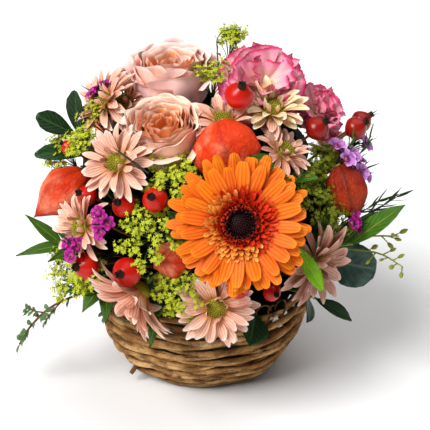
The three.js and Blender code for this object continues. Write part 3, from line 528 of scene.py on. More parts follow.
# Nearly black leaves: painted shade for the gaps deep between the flowers.
deep_leaf_painted_shade = finish("deep leaf", leaf("050e05", "0e200b", "1a3212"), 0.6)
lime_leaf = finish("lime leaf", leaf("5c9408", "86c018", "b4d040"), 0.42)
gum_leaf = finish("gum leaf", leaf("26403a", "48645a", "688070", 5, 0.7), 0.5)
needle_finish = finish("needle leaf", leaf("101c0e", "1c3012", "24401c"), 0.5)
olive_finish = petal("olive bud", "5c6018 868c24 a4a838 444a10 6c741c", 2, 0.3, roughness=0.55)
print(len(bpy.data.materials), "materials so far")

# %% [markdown]
# A stem starts deep in the foam and bends out to the back of its flower. Leaves, sepals and the flowers'
# rods all use the same two builders, the blade and the rod.
# %% Stems of flowers


def stem_way(point, facing, steps=12):
    """Points along a stem, from its foot in the foam to the back of a head."""
    away = (point - FOCUS).normalized()
    aim = Vector((away.x, away.y, max(away.z, 0.16))).normalized()
    entry = FOCUS + aim * min(50 * MM / max(hypot(aim.x, aim.y), 0.001), 28 * MM / aim.z)
    inward = (entry - Vector((0, 0, 25)) * MM).normalized()
    span = (point - entry).length
    first, last = entry + inward * 0.3 * span, point - facing * 0.4 * span
    return interpolate_bezier(entry - inward * 15 * MM, first, last, point, steps)


def head_stem(bm, head, back, facing, radius, sides=6, index=0):
    """The stem of a head, which starts some millimetres behind it."""
    rod(bm, stem_way(head @ Vector((0, 0, -back * MM)), direction(*facing)), radius, sides, index=index)


def cone(bm, matrix, radius, tip_radius, length, sides=5, index=0):
    """A small cone that stands on the matrix's XY plane."""
    tone = dice.random()
    centre = raised(matrix, length / 2)
    made = bmesh.ops.create_cone(bm, cap_ends=True, segments=sides, radius1=radius * MM,
                                 radius2=tip_radius * MM, depth=length * MM, matrix=centre)["verts"]
    back = centre.inverted()
    map_faces(bm, faces_of(made), lambda v: ((back @ v.co).z / (length * MM) + 0.5, 0.5), tone, index)


def berry(bm, matrix, radius, shape, columns=16, rows=10, index=0, tone=None):
    """A round body: shape(t) gives its radius and height as parts of the radius, from bottom to top."""
    tone = dice.random() if tone is None else tone
    made = bmesh.ops.create_uvsphere(bm, u_segments=columns, v_segments=rows, radius=1)["verts"]
    spots = {}
    for v in made:
        t = 0.5 + atan2(v.co.z, hypot(v.co.x, v.co.y)) / pi
        turn = atan2(v.co.y, v.co.x)
        spots[v] = (t, turn / (2 * pi) + 0.5)
        wide, high = shape(t, turn)
        v.co = matrix @ (Vector((wide * cos(turn), wide * sin(turn), high)) * radius * MM)
    map_faces(bm, faces_of(made), lambda v: spots[v], tone, index)


def stalk(name, head, back, facing, radius, node):
    """The stem of one head as a piece of its own."""
    bm = start_mesh()
    head_stem(bm, head, back, facing, radius, 8)
    dress(bm, name, [stem_finish], [node])


def golden_dots(count, radius):
    """Evenly crowded spots on a disc, from the middle out: distances and turns in degrees."""
    return [(radius * sqrt((k + 0.5) / count), EXACT_GOLDEN_TURN * k) for k in range(count)]


print("a stem has", len(stem_way(place(12, 40, 149), direction(4, 25))), "points")

# %% [markdown]
# The gerbera is the largest flower. Three layers of long blunt rays spread from its dark eye. Between them
# stands a broad ring of short red florets. Gold tips are the flower's own colour, but only florets on the
# side towards the main light get them, so where the gold shows is painted light.
# %% Gerbera
gerbera_head = head_frame(place(11.6, 40.2, 149), direction(4, 25))
rays = start_mesh()
# Each layer: number of rays, height, rise in degrees and length.
ray_layers = [(26, 0, 0, 31.5), (24, 1.4, 6, 29.5), (20, 2.6, 13, 25.5)]
for layer, (count, height, rise, length) in enumerate(ray_layers):
    for k in range(count):
        turn = 360 / count * k + 8 * layer + dice.uniform(-3.5, 3.5)
        spot = petal_matrix(gerbera_head, turn, 12.5, height, dice.uniform(-13, 13))
        blade(rays, spot, length * dice.uniform(0.9, 1.04), dice.uniform(7.6, 9.6),
              outline_of(0.42, 0.7, 0.92, 1, 0.96, 0.62), rows=8, columns=6, rise=rise + dice.uniform(-3, 3),
              curl=dice.uniform(-12, 9), cup=dice.uniform(-1.2, 1.0), groove=0.4, tip=0.06,
              notch=dice.uniform(0, 1.2))
dress(rays, "gerbera_petals", [ray_finish], ["gerbera_rays"], smooth=1)

florets = start_mesh()
# Each ring: number of florets, distance out, height, rise in degrees and length.
floret_rings = [(40, 18.6, 3.4, 12, 6.0), (40, 16.8, 3.6, 18, 6.0), (38, 14.9, 3.9, 28, 6.0),
                (36, 13.0, 4.2, 40, 6.0), (34, 11.1, 4.4, 54, 6.0), (30, 9.0, 4.6, 66, 5.6)]
for ring, (count, out, height, rise, length) in enumerate(floret_rings):
    for k in range(count):
        turn = 360 / count * k + dice.uniform(-3, 3)
        spot = petal_matrix(gerbera_head, turn, out, height, dice.uniform(-20, 20))
        # Gold tips only on the side towards the main light: a real colour, placed as painted light.
        golden = ring < 4 and cos(radians(turn - 210)) > dice.uniform(-0.55, 0.3)
        blade(florets, spot, length * dice.uniform(0.85, 1.1), 2.9 if golden else 2.4,
              outline_of(0.6, 1, 1, 0.6), rows=5, columns=2, rise=rise + dice.uniform(-8, 8),
              curl=dice.uniform(-10, 50), cup=2, index=2 if golden else 0)
berry(florets, raised(gerbera_head, -1.2), 15,
      lambda t, turn: (sin(pi * t) ** 0.4, 0.24 * t), 24, 6, 0)
for out, turn in golden_dots(110, 9.4):
    if out > 6:
        spot = petal_matrix(gerbera_head, turn, out, 2)
        cone(florets, spot @ Matrix.Rotation(radians(out * 3), 4, "Y"), 0.6, 0.6, 6.0, index=1)
dress(florets, "gerbera_florets", [red_floret, eye_finish, gold_floret_on_lit_side], ["gerbera_fringe"])

eye = start_mesh()
berry(eye, raised(gerbera_head, -1.6), 7.6, lambda t, turn: (sin(pi * t) ** 0.6, 0.92 * t), 20, 10)
for out, turn in golden_dots(100, 7.2):
    spot = petal_matrix(gerbera_head, turn, out, 5.6 - 0.045 * out * out)
    cone(eye, spot @ Matrix.Rotation(radians(out * 5), 4, "Y"), 0.5, 0.25, 1.9 + dice.uniform(-0.4, 0.5))
dress(eye, "gerbera_button", [eye_finish], ["gerbera_eye"])

stalk("gerbera_stalk", gerbera_head, 2, (4, 25), 2.4, "gerbera_stem")

# %% [markdown]
# A rose petal is wrapped round the flower's axis: every point of the grid keeps a distance from the axis and
# a height, taken from a profile. Small petals stand in the heart, and larger ones open further and further
# out, each turned by the golden angle so that its edges lie over its neighbours. The rims roll outwards.
# %% Roses


def rose_petal(bm, head, turn, size, part, chance):
    """One petal of a rose; part is 0 in the heart and 1 at the outside."""
    flare, phase = chance.uniform(0.1, 0.9), chance.uniform(0, 6)
    tone = min(1, max(0, 1.9 * part - 0.65 + chance.uniform(-0.12, 0.12)))
    made = bmesh.ops.create_grid(bm, x_segments=11, y_segments=14, size=1)["verts"]
    grid = {v: ((v.co.x + 1) / 2, v.co.y) for v in made}
    map_faces(bm, faces_of(made), lambda v: (grid[v][0], grid[v][1] / 2 + 0.5), tone)
    low = part > 0.92
    top = 33 + 4.5 * part - 7 * low + chance.uniform(-1.6, 1.6)
    rim = 3 + 22 * part ** 0.85 + 4.5 * low
    radii = [3 + 4 * part, 4.5 + 16 * part, 5 + 20 * part, 4.6 + 21.5 * part, 4.2 + 21.5 * part, rim]
    heights = [1, 7 - part, 14.5, 23, top - 5, top]
    spread = radians(92 - 34 * part)
    for v, (u, side) in grid.items():
        edge = u * (1 - 0.08 * abs(side) ** 4)
        angle = side * spread * (0.4 + 0.6 * sin(pi / 2 * min(1, 1.6 * edge)))
        fold = sin(2.6 * pi * side + phase) + 0.6 * sin(5.4 * side - phase * 2)
        ripple = sin(9 * side + phase * 2) + 0.6 * sin(15 * side - phase)
        radius = between(radii, edge) + (1.3 + 0.5 * part) * fold * u ** 3
        radius += side ** 4 * (0.6 + 1.4 * part) * u
        height = between(heights, edge) + (0.8 + 0.9 * part) * sin(5 * side + phase * 3) * u ** 4
        height -= abs(side) ** 4 * (1.6 + 1.6 * flare) * u
        roll = max(0, u - 0.84) / 0.16
        radius += roll * roll * (flare * (0.4 + 3.4 * part) + 0.45 * ripple)
        height -= roll ** 3 * flare * 2.2 * part
        v.co = head @ Matrix.Rotation(radians(turn), 4, "Z") @ (
            Vector((cos(angle) * radius, sin(angle) * radius, height)) * size * MM)


def rose(name, spot, facing, size, count, colour, nodes, seed):
    """A garden rose with its heart slightly off the middle."""
    chance = random.Random(seed)
    head = head_frame(place(*spot), direction(*facing), seed * 13)
    bm = start_mesh()
    for k in range(count):
        part = (k / (count - 1)) ** 0.85
        lean = Matrix.Rotation(radians(chance.uniform(-6, 6) * (1 - part)), 4, "X")
        shift = Matrix.Translation(Vector((3.0 * (1 - part), 1.5 * (1 - part), 0)) * size * MM)
        rose_petal(bm, head @ shift @ lean, GOLDEN_TURN * k + chance.uniform(-9, 9), size, part, chance)
    for k in range(5):
        blade(bm, petal_matrix(head, 72 * k, 4 * size, -1), 19 * size, 6, outline_of(0.6, 1, 0.7, 0.3, 0.05),
              rise=20, curl=-30, index=1)
    berry(bm, raised(head, -7 * size), 6 * size, lambda t, turn: (sin(pi * t) ** 0.7, 1.6 * t), 12, 8, 1)
    dress(bm, name, [colour, stem_finish], nodes, smooth=1)
    return head


pink_rose = rose("rose_top_bloom", (-85, 81, 133), (-10, 80), 1.06, 28, rose_finish,
                 ["rose_top_petals"], 2)
peach_rose = rose("rose_low_bloom", (-27, 66, 124), (-10, 64), 0.92, 32, peach_finish,
                  ["rose_low_petals"], 5)
back_rose = rose("rose_back_bloom", (158, 52, 118), (158, 55), 0.92, 28, rose_finish,
                 ["rose_back_petals"], 9)
stalk("rose_top_stalk", pink_rose, 7, (-10, 87), 1.9, "rose_top_stem")
stalk("rose_low_stalk", peach_rose, 6, (-14, 72), 1.8, "rose_low_stem")
stalk("rose_back_stalk", back_rose, 6, (158, 55), 1.8, "rose_back_petals")

# %% [markdown]
# Carnation petals are fans with a toothed, crumpled edge, so tightly packed that only the edges show.
# %% Carnations


def carnation(name, spot, facing, size, seed):
    chance = random.Random(seed)
    head = head_frame(place(*spot), direction(*facing))
    bm = start_mesh()
    # Each layer: number of petals, rise in degrees, reach and root height, the last two as parts of the size.
    layers = [(7, 4, 1.0, 0.0), (7, 16, 0.98, 0.06), (6, 31, 0.94, 0.1), (6, 48, 0.84, 0.12),
              (4, 68, 0.72, 0.12)]
    for layer, (count, rise, reach, low) in enumerate(layers):
        for k in range(count):
            turn = 360 / count * k + layer * 23 + chance.uniform(-8, 8)
            spot_matrix = petal_matrix(head, turn, 0.06 * size, low * size, chance.uniform(-14, 14))
            length, width = size * reach * chance.uniform(0.86, 1.04), size * chance.uniform(0.95, 1.2)
            blade(bm, spot_matrix, length, width, outline_of(0.12, 0.34, 0.7, 0.95, 1.0), rows=9, columns=18,
                  rise=rise + chance.uniform(-7, 7), curl=chance.uniform(-30, 8), cup=1.5,
                  ruffle=size * chance.uniform(0.05, 0.1), waves=chance.uniform(1.8, 3.2), tip=0.14,
                  tooth=size * 0.008)
    berry(bm, raised(head, -0.8 * size), 0.2 * size,
          lambda t, turn: (sin(pi * min(1, t + 0.12)) ** 0.5, 4.6 * t), 10, 8, 1)
    head_stem(bm, head, 0.78 * size, facing, 1.3, index=1)
    dress(bm, name + "_bloom", [carnation_finish, stem_finish], [name])


carnation("carnation_top", (64, 74.5, 156), (20, 46), 28, 3)
carnation("carnation_right", (82, 60.5, 150), (58, 42), 20, 8)

# %% [markdown]
# Each daisy chrysanthemum has four layers of spoon-shaped petals round a domed button of tiny florets. The
# youngest petals, in the layer next to the button, are still short and rolled up.
# %% Daisy chrysanthemums


def daisy(bm, middle, spot, facing, radius, seed, index=0, lift=0):
    """One head with its stem in bm, and its button in a mesh of its own. Lift closes the head like a cup."""
    chance = random.Random(seed)
    head = head_frame(place(*spot), direction(*facing))
    reach = radius - 6
    # Each layer: number of petals, root height, rise and curl in degrees, and part of the full reach.
    layers = [(14, -0.8, 0, -12, 1.0), (13, 0.2, 12, -6, 0.96), (12, 1.0, 27, 0, 0.84),
              (7, 1.6, 52, 48, 0.45)]
    for layer, (count, low, rise, curl, part) in enumerate(layers):
        for k in range(count):
            turn = 360 / count * k + layer * 17 + chance.uniform(-9, 9)
            outer = 1 - index if index and layer == 0 and chance.random() < 0.6 else index
            young = layer == 3
            wide = (4 if young else chance.uniform(5.4, 7.2)) * radius / 28
            root = petal_matrix(head, turn, 5.8, low, chance.uniform(-24, 24))
            blade(bm, root, reach * part * chance.uniform(0.82, 1.05), wide,
                  outline_of(0.42, 0.6, 0.84, 1, 0.92, 0.5), rows=8, columns=4,
                  rise=rise + lift + chance.uniform(-9, 9), curl=curl - lift + chance.uniform(-24, 24),
                  cup=5 if young else chance.uniform(0.6, 3.4), groove=0.3, notch=chance.uniform(0, 1.2),
                  tone=chance.random(), index=outer)
    berry(middle, raised(head, -7), 6.6, lambda t, turn: (sin(pi * min(1, t * 0.8 + 0.1)), 1.78 * t), 14, 10)
    for out, turn in golden_dots(80, 6.2):
        dot = petal_matrix(head, turn, out, 4.5 - 0.05 * out * out)
        cone(middle, dot @ Matrix.Rotation(radians(out * 8), 4, "Y"), 0.55, 0.3, 1.1, 4)
    head_stem(bm, head, 6, facing, 1.2, index=2)


daisy_pair = (mum_finish, cream_finish)


def daisy_pieces(name, heads, node, pair=daisy_pair):
    """Two pieces: the petals and stems of some heads, and their buttons."""
    bm, middle = start_mesh(), start_mesh()
    for head in heads:
        daisy(bm, middle, *head)
    dress(bm, name + "_bloom", [*pair, stem_finish], [node], smooth=1)
    dress(middle, name + "_button", [button_finish], [node])


# Each head: (azimuth, elevation, reach), the direction that it faces, and its radius.
daisy_heads = {
    "mum_left_upper": [(-35, 53, 151), (-32, 38), 28], "mum_left_top": [(-74, 65, 157), (-64, 44), 29],
    "mum_left": [(-46, 36, 131), (-52, 12), 26], "mum_low_left": [(-23, 22, 108.5), (-62, -42), 38],
    "mum_low_front": [(5, 18, 101), (2, 14), 29], "mum_right": [(41, 27, 123), (50, -8), 32],
    "mum_top": [(13, 68, 152), (0, 68), 23], "mum_cream": [(46, 67, 157), (10, 66), 27],
    "mum_small": [(39, 57, 148), (64, 50), 22]}
# Which of the pair of finishes most petals have, and how far in degrees the head closes.
daisy_lifts = {"mum_cream": (1, 14), "mum_low_left": (0, 34)}
# mum_right gets the daisy petal in painted shade, as it sits on the shaded side.
for k, (name, (spot, facing, radius)) in enumerate(daisy_heads.items()):
    daisy_pieces(name, [(spot, facing, radius, 20 + k, *daisy_lifts.get(name, (0, 0)))], name,
                 (daisy_petal_painted_shade, mum_finish) if name == "mum_right" else daisy_pair)
daisy_pieces("mum_left_top_second", [((-74, 69, 150), (-50, 48), 24, 43)], "mum_left_top")
daisy_pieces("mum_spray_back", [((178, 34, 125), (178, 18), 28, 41), ((116, 38, 130), (116, 22), 28, 42)],
             "mum_spray_back")

# %% [markdown]
# The papery lanterns of the winter cherry have five ribs that meet in a point, with a net of fine veins.
# %% Lanterns


def lantern(name, spot, facing, width, length, colour, seed):
    head = head_frame(place(*spot), direction(*facing), seed * 31)
    bm = start_mesh()

    def shape(t, turn):
        point = max(0.0, t - 0.8) / 0.2
        wide = sin(pi * min(1, 0.04 + t * 0.98)) ** 0.62 * (1 - 0.35 * point)
        ribs = 0.84 + 0.2 * (1 - abs(sin(turn * 2.5))) * sin(pi * t) ** 0.5 + 0.06 * abs(sin(turn * 2.5))
        dent = 1 + 0.07 * noise.noise(Vector((cos(turn), sin(turn), t * 2)) * 2 + Vector((seed, 0, 0)))
        crease = 1 + 0.04 * noise.noise(Vector((cos(turn) * 5, sin(turn) * 5, t * 7 + seed)))
        climb = (2 * t - 1) * length / width + point ** 1.6 * 0.28 * length / width
        return wide * ribs * dent * crease, climb

    berry(bm, head, width / 2, shape, 60, 36, 0, (seed * 0.37) % 1)
    head_stem(bm, head, length / 2, spot[:2], 0.8, index=1)
    dress(bm, name + "_husk", [colour, stem_finish], [name])


lantern("lantern_top", (13, 60.5, 144), (34, -60), 43, 42, lantern_finish, 3)
lantern("lantern_left", (-65, 41, 134), (-72, -38), 31, 40, lantern_finish, 2)
lantern("lantern_right", (60, 41, 142), (40, -66), 27, 36, dark_lantern, 1)
lantern("lantern_front", (-12, 34, 112), (-15, 20), 24, 32, lantern_finish, 4)
lantern("lantern_back", (-135, 44, 130), (-135, 30), 32, 36, lantern_finish, 5)

# %% [markdown]
# Rose hips are glossy, slightly pear-shaped, and end in the dry brown crown of the old flower.
# %% Rose hips
# Each hip: azimuth, elevation, reach and radius.
hip_sprays = {
    "hips_top": [(22, 69, 169, 9.6), (170, 70, 153, 8.4)],
    "hips_right": [(97, 47, 160, 8), (71, 51, 166, 8), (57, 57, 159, 8.4)],
    "hips_left": [(-17, 47, 142, 8.4), (-30, 45, 136, 8.4), (-24, 28, 128, 9.8)],
    "hips_far_left": [(-47, 44, 138, 7.4), (-42, 26, 122, 9.4), (-68, 51, 150, 5)],
    "hips_front": [(13, 25, 110, 8), (27, 21, 104, 6.4)]}
for name, hips in hip_sprays.items():
    bm = start_mesh()
    for azimuth, elevation, reach, radius in hips:
        facing = (azimuth, elevation - 12)
        head = head_frame(place(azimuth, elevation, reach), direction(*facing))
        berry(bm, head, radius,
              lambda t, turn: (sin(pi * t) ** 0.86 * (0.9 + 0.1 * t), 2.1 * t - 1.05), 20, 14)
        tip = raised(head, radius * 0.98)
        cone(bm, raised(tip, -0.06 * radius), radius * 0.3, radius * 0.2, radius * 0.14, 14, index=1)
        for k in range(14):
            bit = petal_matrix(tip, 26 * k, radius * 0.19, 0.06 * radius)
            bit = bit @ Matrix.Rotation(radians(dice.uniform(-20, 45)), 4, "Y")
            cone(bm, bit, radius * 0.09, radius * 0.03, radius * dice.uniform(0.14, 0.26), 5, index=1)
        for k in range(5 if name == "hips_right" else 0):
            whisker = petal_matrix(tip, 72 * k + dice.uniform(-12, 12), radius * 0.1, 0.3)
            blade(bm, whisker, radius * 0.95, radius * 0.12, outline_of(1, 0.7, 0.2), rows=3, columns=1,
                  rise=dice.uniform(35, 75), curl=-40, tip=0, index=1)
        head_stem(bm, head, radius, facing, 0.85, index=2)
    skin = dark_hip if name == "hips_right" else hip_finish
    dress(bm, name + "_fruit", [skin, crown_finish, brown_stem], [name])

# %% [markdown]
# Lady's mantle makes a froth of hundreds of tiny yellow-green stars on hair-thin branching stalks. A star is
# a circle of ten points with every second one pulled in, so it costs only ten triangles.
# %% Lady's mantle
BRANCHES = 13


def star(bm, matrix, radius, tone):
    """A small star with its middle sunk a little."""
    made = bmesh.ops.create_circle(bm, cap_ends=True, cap_tris=True, segments=10, radius=radius * MM)["verts"]
    faces = faces_of(made)
    bmesh.ops.transform(bm, matrix=matrix, verts=made)
    middle = matrix.translation
    ring = [v for v in made if (v.co - middle).length > 0.5 * radius * MM]
    for k, v in enumerate(ring):
        if k % 2:
            v.co = middle + (v.co - middle) * 0.42
        else:
            v.co += (matrix.to_3x3() @ UP).normalized() * radius * 0.35 * MM
    map_faces(bm, faces, lambda v: ((v.co - middle).length / (radius * MM), 0.5), tone)


def mantle(name, clouds, seed, florets, floret_finish=froth_finish):
    """Some clouds, each as (azimuth, elevation, reach, spread), with a number of florets in each."""
    chance = random.Random(seed)
    bm = start_mesh()
    for azimuth, elevation, reach, spread in clouds:
        outward = direction(azimuth, elevation)
        base = place(azimuth, elevation, reach - 17)
        rod(bm, stem_way(base, outward, 8), 0.8, 5, index=1)
        middle = place(azimuth, elevation, reach)
        frame_here = head_frame(middle, outward)
        for branch in range(BRANCHES):
            out = sqrt((branch + 0.5) / BRANCHES) * spread * 1.08
            turn = radians(GOLDEN_TURN * branch + seed * 40)
            height = chance.uniform(-3, 6) - 0.025 * out * out
            knot = frame_here @ (Vector((out * cos(turn), out * sin(turn), height)) * MM)
            stalk_way = smooth_way([base, base.lerp(knot, 0.5) + outward * 1.5 * MM, knot], 2)
            rod(bm, stalk_way, 0.35, 3, 0.6, index=1)
            for k in range(florets // BRANCHES):
                away = Vector([chance.gauss(0, 1) for _ in range(3)]).normalized() + outward * 0.45
                tip = knot + away * chance.uniform(1.6, 5.6) * MM
                face = (away.normalized() + outward * 0.6).normalized()
                star(bm, head_frame(tip, face, chance.uniform(0, 72)), chance.uniform(1.2, 2.0),
                     chance.random())
                if k % 4 == 0:
                    rod(bm, [knot, knot.lerp(tip, 0.95)], 0.22, 3, index=1)
    dress(bm, name + "_froth", [floret_finish, stem_finish], [name])


mantle("mantle_left", [(-13, 54, 144, 16), (-19, 39, 137, 19)], 1, 460)
mantle("mantle_low", [(-9, 24, 106, 16)], 2, 420)
mantle("mantle_top", [(20, 83, 162, 13), (95, 84, 180, 7)], 3, 330)
mantle("mantle_far_left", [(-78, 48, 146, 12), (-64, 16, 110, 16), (-44, 23, 118, 11), (-72, 61, 152, 8),
                           (-63, 54, 148, 8)], 4, 420)
# The right clouds get the mantle florets in painted shade.
mantle("mantle_right", [(48, 48, 140, 15), (52, 38, 134, 16), (64, 51, 138, 10)], 5, 400, mantle_floret_painted_shade)
mantle("mantle_back", [(-158, 46, 136, 17)], 6, 420)

# %% [markdown]
# Wax flowers are small: five round petals on a dark cup, on woody twigs with needle leaves.
# %% Wax flowers


def needle(bm, root, stem, k, spread, lean, length, width, curl, index):
    """The k-th needle leaf round a stem; it leaves the stem by spread and follows it by lean."""
    across = Quaternion(stem, radians(GOLDEN_TURN * k)) @ stem.orthogonal().normalized()
    blade(bm, leaf_frame(root, across * spread + stem * lean, stem), length, width,
          outline_of(0.7, 1, 0.8, 0.2), rows=4, columns=2, curl=curl, index=index)


def wax(name, spots, colour, seed, size, node):
    """Twigs with clusters of flowers; size scales the petals."""
    chance = random.Random(seed)
    bm = start_mesh()
    for azimuth, elevation, reach, flowers in spots:
        outward = direction(azimuth, elevation)
        middle = place(azimuth, elevation, reach)
        rod(bm, stem_way(place(azimuth, elevation, reach - 10), outward, 10), 0.8, 5, index=2)
        frame_here = head_frame(middle, outward, chance.uniform(0, 360))
        for k in range(flowers):
            out = 8.5 * size * sqrt((k + 0.3) / 6)
            turn = radians(GOLDEN_TURN * k)
            spot = frame_here @ (Vector((out * cos(turn), out * sin(turn), chance.uniform(-3, 3))) * MM)
            tilt = (outward + (spot - middle) * 55).normalized()
            flower = head_frame(spot, tilt, chance.uniform(0, 72))
            for j in range(5):
                blade(bm, petal_matrix(flower, 72 * j, 1.2 * size, 0), 4.4 * size, 4.5 * size,
                      outline_of(0.4, 0.95, 1, 0.75), rows=4, columns=4, rise=38, curl=-30, cup=2.6, tip=0.22)
            cone(bm, raised(flower, -2.4), 1.0, 2.2, 3.0, 8, index=1)
            cone(bm, flower, 0.5, 0.3, 1.6, 5, index=3)
            start = place(azimuth, elevation, reach - 10)
            way = smooth_way([start, start.lerp(spot, 0.6) + outward * 2 * MM, spot - tilt * 2.4 * MM], 3)
            rod(bm, way, 0.5, 4, index=2)
        for k in range(16):
            root = place(azimuth, elevation, reach - 14 + k * 0.8)
            needle(bm, root, outward, k, 1, 0.9, chance.uniform(10, 17), 1.4, 20, 4)
    dress(bm, name + "_sprays", [colour, cup_finish, brown_stem, crown_finish, needle_finish], [node])


wax("wax_left", [(-34, 39, 141, 5), (-45, 30, 134, 5), (-80, 64.5, 163, 5)], wax_finish, 1, 0.95,
    "wax_left")
wax("wax_right", [(64, 48, 154, 5), (70, 43, 150, 4), (76, 48, 157, 2)], lilac_finish, 2, 1.25,
    "wax_right")
wax("wax_right_low", [(56, 33, 140, 4)], wax_finish, 3, 0.9, "wax_right")

# %% [markdown]
# Leafy twigs: each starts in the foam, ends at a place on the dome, and carries leaves at given parts of its
# length. A leaf is placed by its tip, so its length is whatever reaches from the twig to there.
# %% Leaves
shapes = {"oval": (0.1, 0.55, 0.85, 1, 0.92, 0.62, 0.06), "narrow": (0.1, 0.7, 1, 0.9, 0.66, 0.34, 0.03),
          "round": (0.15, 0.7, 0.95, 1, 0.97, 0.82, 0.4), "spoon": (0.1, 0.36, 0.66, 0.9, 1, 0.86, 0.3)}


def leafy(name, twigs, shape, finishes, broad=None, node=None):
    """Twigs as (end, facing, leaves), with each leaf as (part of the twig, tip, width). Broad is a direction
    that the upper sides look to, for leaves that don't look away from the middle."""
    bm = start_mesh()
    for end, facing, leaves in twigs:
        way = stem_way(place(*end), direction(*facing), 14)
        rod(bm, way, 1.1, 6, 0.7, index=1)
        for part, tip, width in leaves:
            root, goal = between(way, part), place(*tip)
            span = goal - root
            upper = direction(*broad) if broad else (direction(tip[0], tip[1]) + UP * 0.2).normalized()
            length = span.length / MM
            blade(bm, leaf_frame(root, span, upper), length, width * 1.12, outline_of(*shapes[shape]),
                  rows=12, columns=6, rise=dice.uniform(4, 14), curl=dice.uniform(-26, -10),
                  cup=dice.uniform(0.8, 1.8), groove=-0.25, ruffle=0.7, waves=2, tip=0.02)
    dress(bm, name + "_foliage", finishes, [node or name], thickness=0.35)


leafy("leaves_left", [
    ((-79, 54, 146), (-78, 45), [
        (1, (-80, 50, 173), 13), (0.97, (-78, 60, 172), 12), (0.92, (-66, 59, 160), 12),
        (0.85, (-74, 43, 158), 12), (0.5, (-94, 52, 130), 26), (0.4, (-60, 50, 116), 24)])],
    "spoon", [dark_leaf, brown_stem], (-30, 40))
leafy("leaves_low_left", [
    ((-68, 25, 112), (-70, 20), [
        (1, (-76, 28, 140), 8), (0.98, (-70, 18, 140), 8), (0.8, (-60, 22, 126), 8),
        (0.7, (-48, 18, 112), 14), (0.5, (-82, 24, 112), 20)]),
    ((-22, 9, 80), (-22, -10), [(1, (-21, -1, 97), 7), (0.9, (-34, 6, 92), 7)]),
    ((-50, 16, 92), (-50, 0), [
        (1, (-48, 8, 108), 11), (0.95, (-56, 12, 112), 11), (0.85, (-40, 5, 100), 10),
        (0.9, (-64, 14, 110), 10)])],
    "narrow", [bright_leaf, stem_finish], (-20, 50))
leafy("leaves_right", [
    ((59, 27, 128), (60, 20), [
        (0.98, (61, 32, 172), 11), (0.9, (74, 30, 140), 9), (0.45, (70, 44, 122), 26),
        (0.5, (48, 36, 116), 24)])],
    "oval", [bright_leaf, stem_finish], (20, 50))
leafy("leaves_right_front", [((32, 33, 134), (32, 0), [(1, (35, 20, 138), 9)])],
      "oval", [lime_leaf, stem_finish], (0, 40), "leaves_right")
leafy("eucalyptus", [
    ((70, 20, 98), (70, 10), [(1, (71, 14, 128), 27), (0.8, (84, 24, 118), 22), (0.7, (94, 16, 104), 20)])],
    "round", [gum_leaf, stem_finish], (20, 12))
leafy("leaves_front", [
    ((26, 10, 78), (24, -10), [(1, (18, 1, 98), 20), (0.85, (8, 8, 90), 12)]),
    ((57, 8, 92), (57, -10), [(1, (58, 1, 117), 12), (0.85, (44, 4, 100), 11)])],
    "oval", [dark_leaf, stem_finish])
leafy("leaves_centre", [
    ((-6, 40, 120), (-6, 40), [
        (1, (-11, 43.5, 148), 10), (0.95, (-11, 38, 143), 11), (0.85, (-1, 36, 134), 8),
        (0.45, (14, 44, 120), 26)]),
    ((38, 52, 142), (38, 52), [
        (1, (19, 55, 158), 12), (0.97, (27, 46.5, 165), 11), (0.9, (44, 47, 152), 10),
        (0.5, (40, 66, 124), 26), (0.45, (-10, 66, 120), 24)])],
    "oval", [bright_leaf, stem_finish])
leafy("leaves_back", [
    ((160, 30, 108), (160, 20), [
        (1, (166, 30, 138), 14), (0.95, (150, 34, 136), 13), (0.85, (172, 20, 118), 12),
        (0.45, (140, 52, 116), 26), (0.4, (-176, 40, 112), 24)]),
    ((-134, 26, 106), (-134, 15), [
        (1, (-130, 26, 136), 13), (0.9, (-146, 26, 130), 13), (0.45, (-124, 48, 118), 26)])],
    "oval", [dark_leaf, stem_finish])


def small_leaf(bm, root, along, upper, length, width):
    """A small oval leaf for the trailing twig."""
    blade(bm, leaf_frame(root, along, upper), length, width, outline_of(*shapes["oval"]), rows=5, columns=2,
          rise=6, curl=-20, cup=1)


bm = start_mesh()
twig_places = [(-50, 22, 66), (-56, 13, 90), (-64, 4, 112), (-70, -5, 126), (-73, -12, 137)]
twig_way = smooth_way([place(*spot) for spot in twig_places], 5)
rod(bm, twig_way, 0.8, 6, 0.7, index=1)
forward = (twig_way[-1] - twig_way[0]).normalized()
face_up = direction(-65, 25)
sideways = forward.cross(face_up).normalized()
for k, part in enumerate((0.12, 0.3, 0.45, 0.6, 0.74)):
    root = between(twig_way, part)
    out = forward * 0.7 + sideways * (1 if k % 2 else -1) * 0.7 + face_up * dice.uniform(-0.3, 0.4)
    out.normalize()
    length = dice.uniform(16, 24) * (1.1 - part * 0.6)
    halfway = root + (out * 0.55 + forward * 0.08) * length * MM
    shoot = smooth_way([root, halfway, root + out * length * MM], 4)
    rod(bm, shoot, 0.45, 5, 0.6, index=1)
    for j in range(2, len(shoot)):
        turn = out + sideways * (0.9 if j % 2 else -0.9)
        small_leaf(bm, shoot[j], turn, face_up, dice.uniform(5, 8), 3.2)
for k in range(2, len(twig_way)):
    turn = forward * 0.6 + sideways * (1 if k % 2 else -1)
    small_leaf(bm, twig_way[k], turn, face_up, dice.uniform(6, 9), 3.6)
sprig_leaf = finish("sprig leaf", leaf("34542c", "5c8048", "88a470"), 0.5)
dress(bm, "twig_sprig", [sprig_leaf, brown_stem], ["twig"], thickness=0.3)

# %% [markdown]
# The dome is deep: between the flowers one sees dark leaves and shadow, never the foam. These filler leaves
# stand in the foam beside the stems. Those under the roses reach further out, as the roses stand high.
# Except at the back, their colour is nearly black: painted shade for the gaps between the flowers.
# %% Deep leaves
LOWEST_ROOT, LOWEST_TIP = 0.066, 0.074
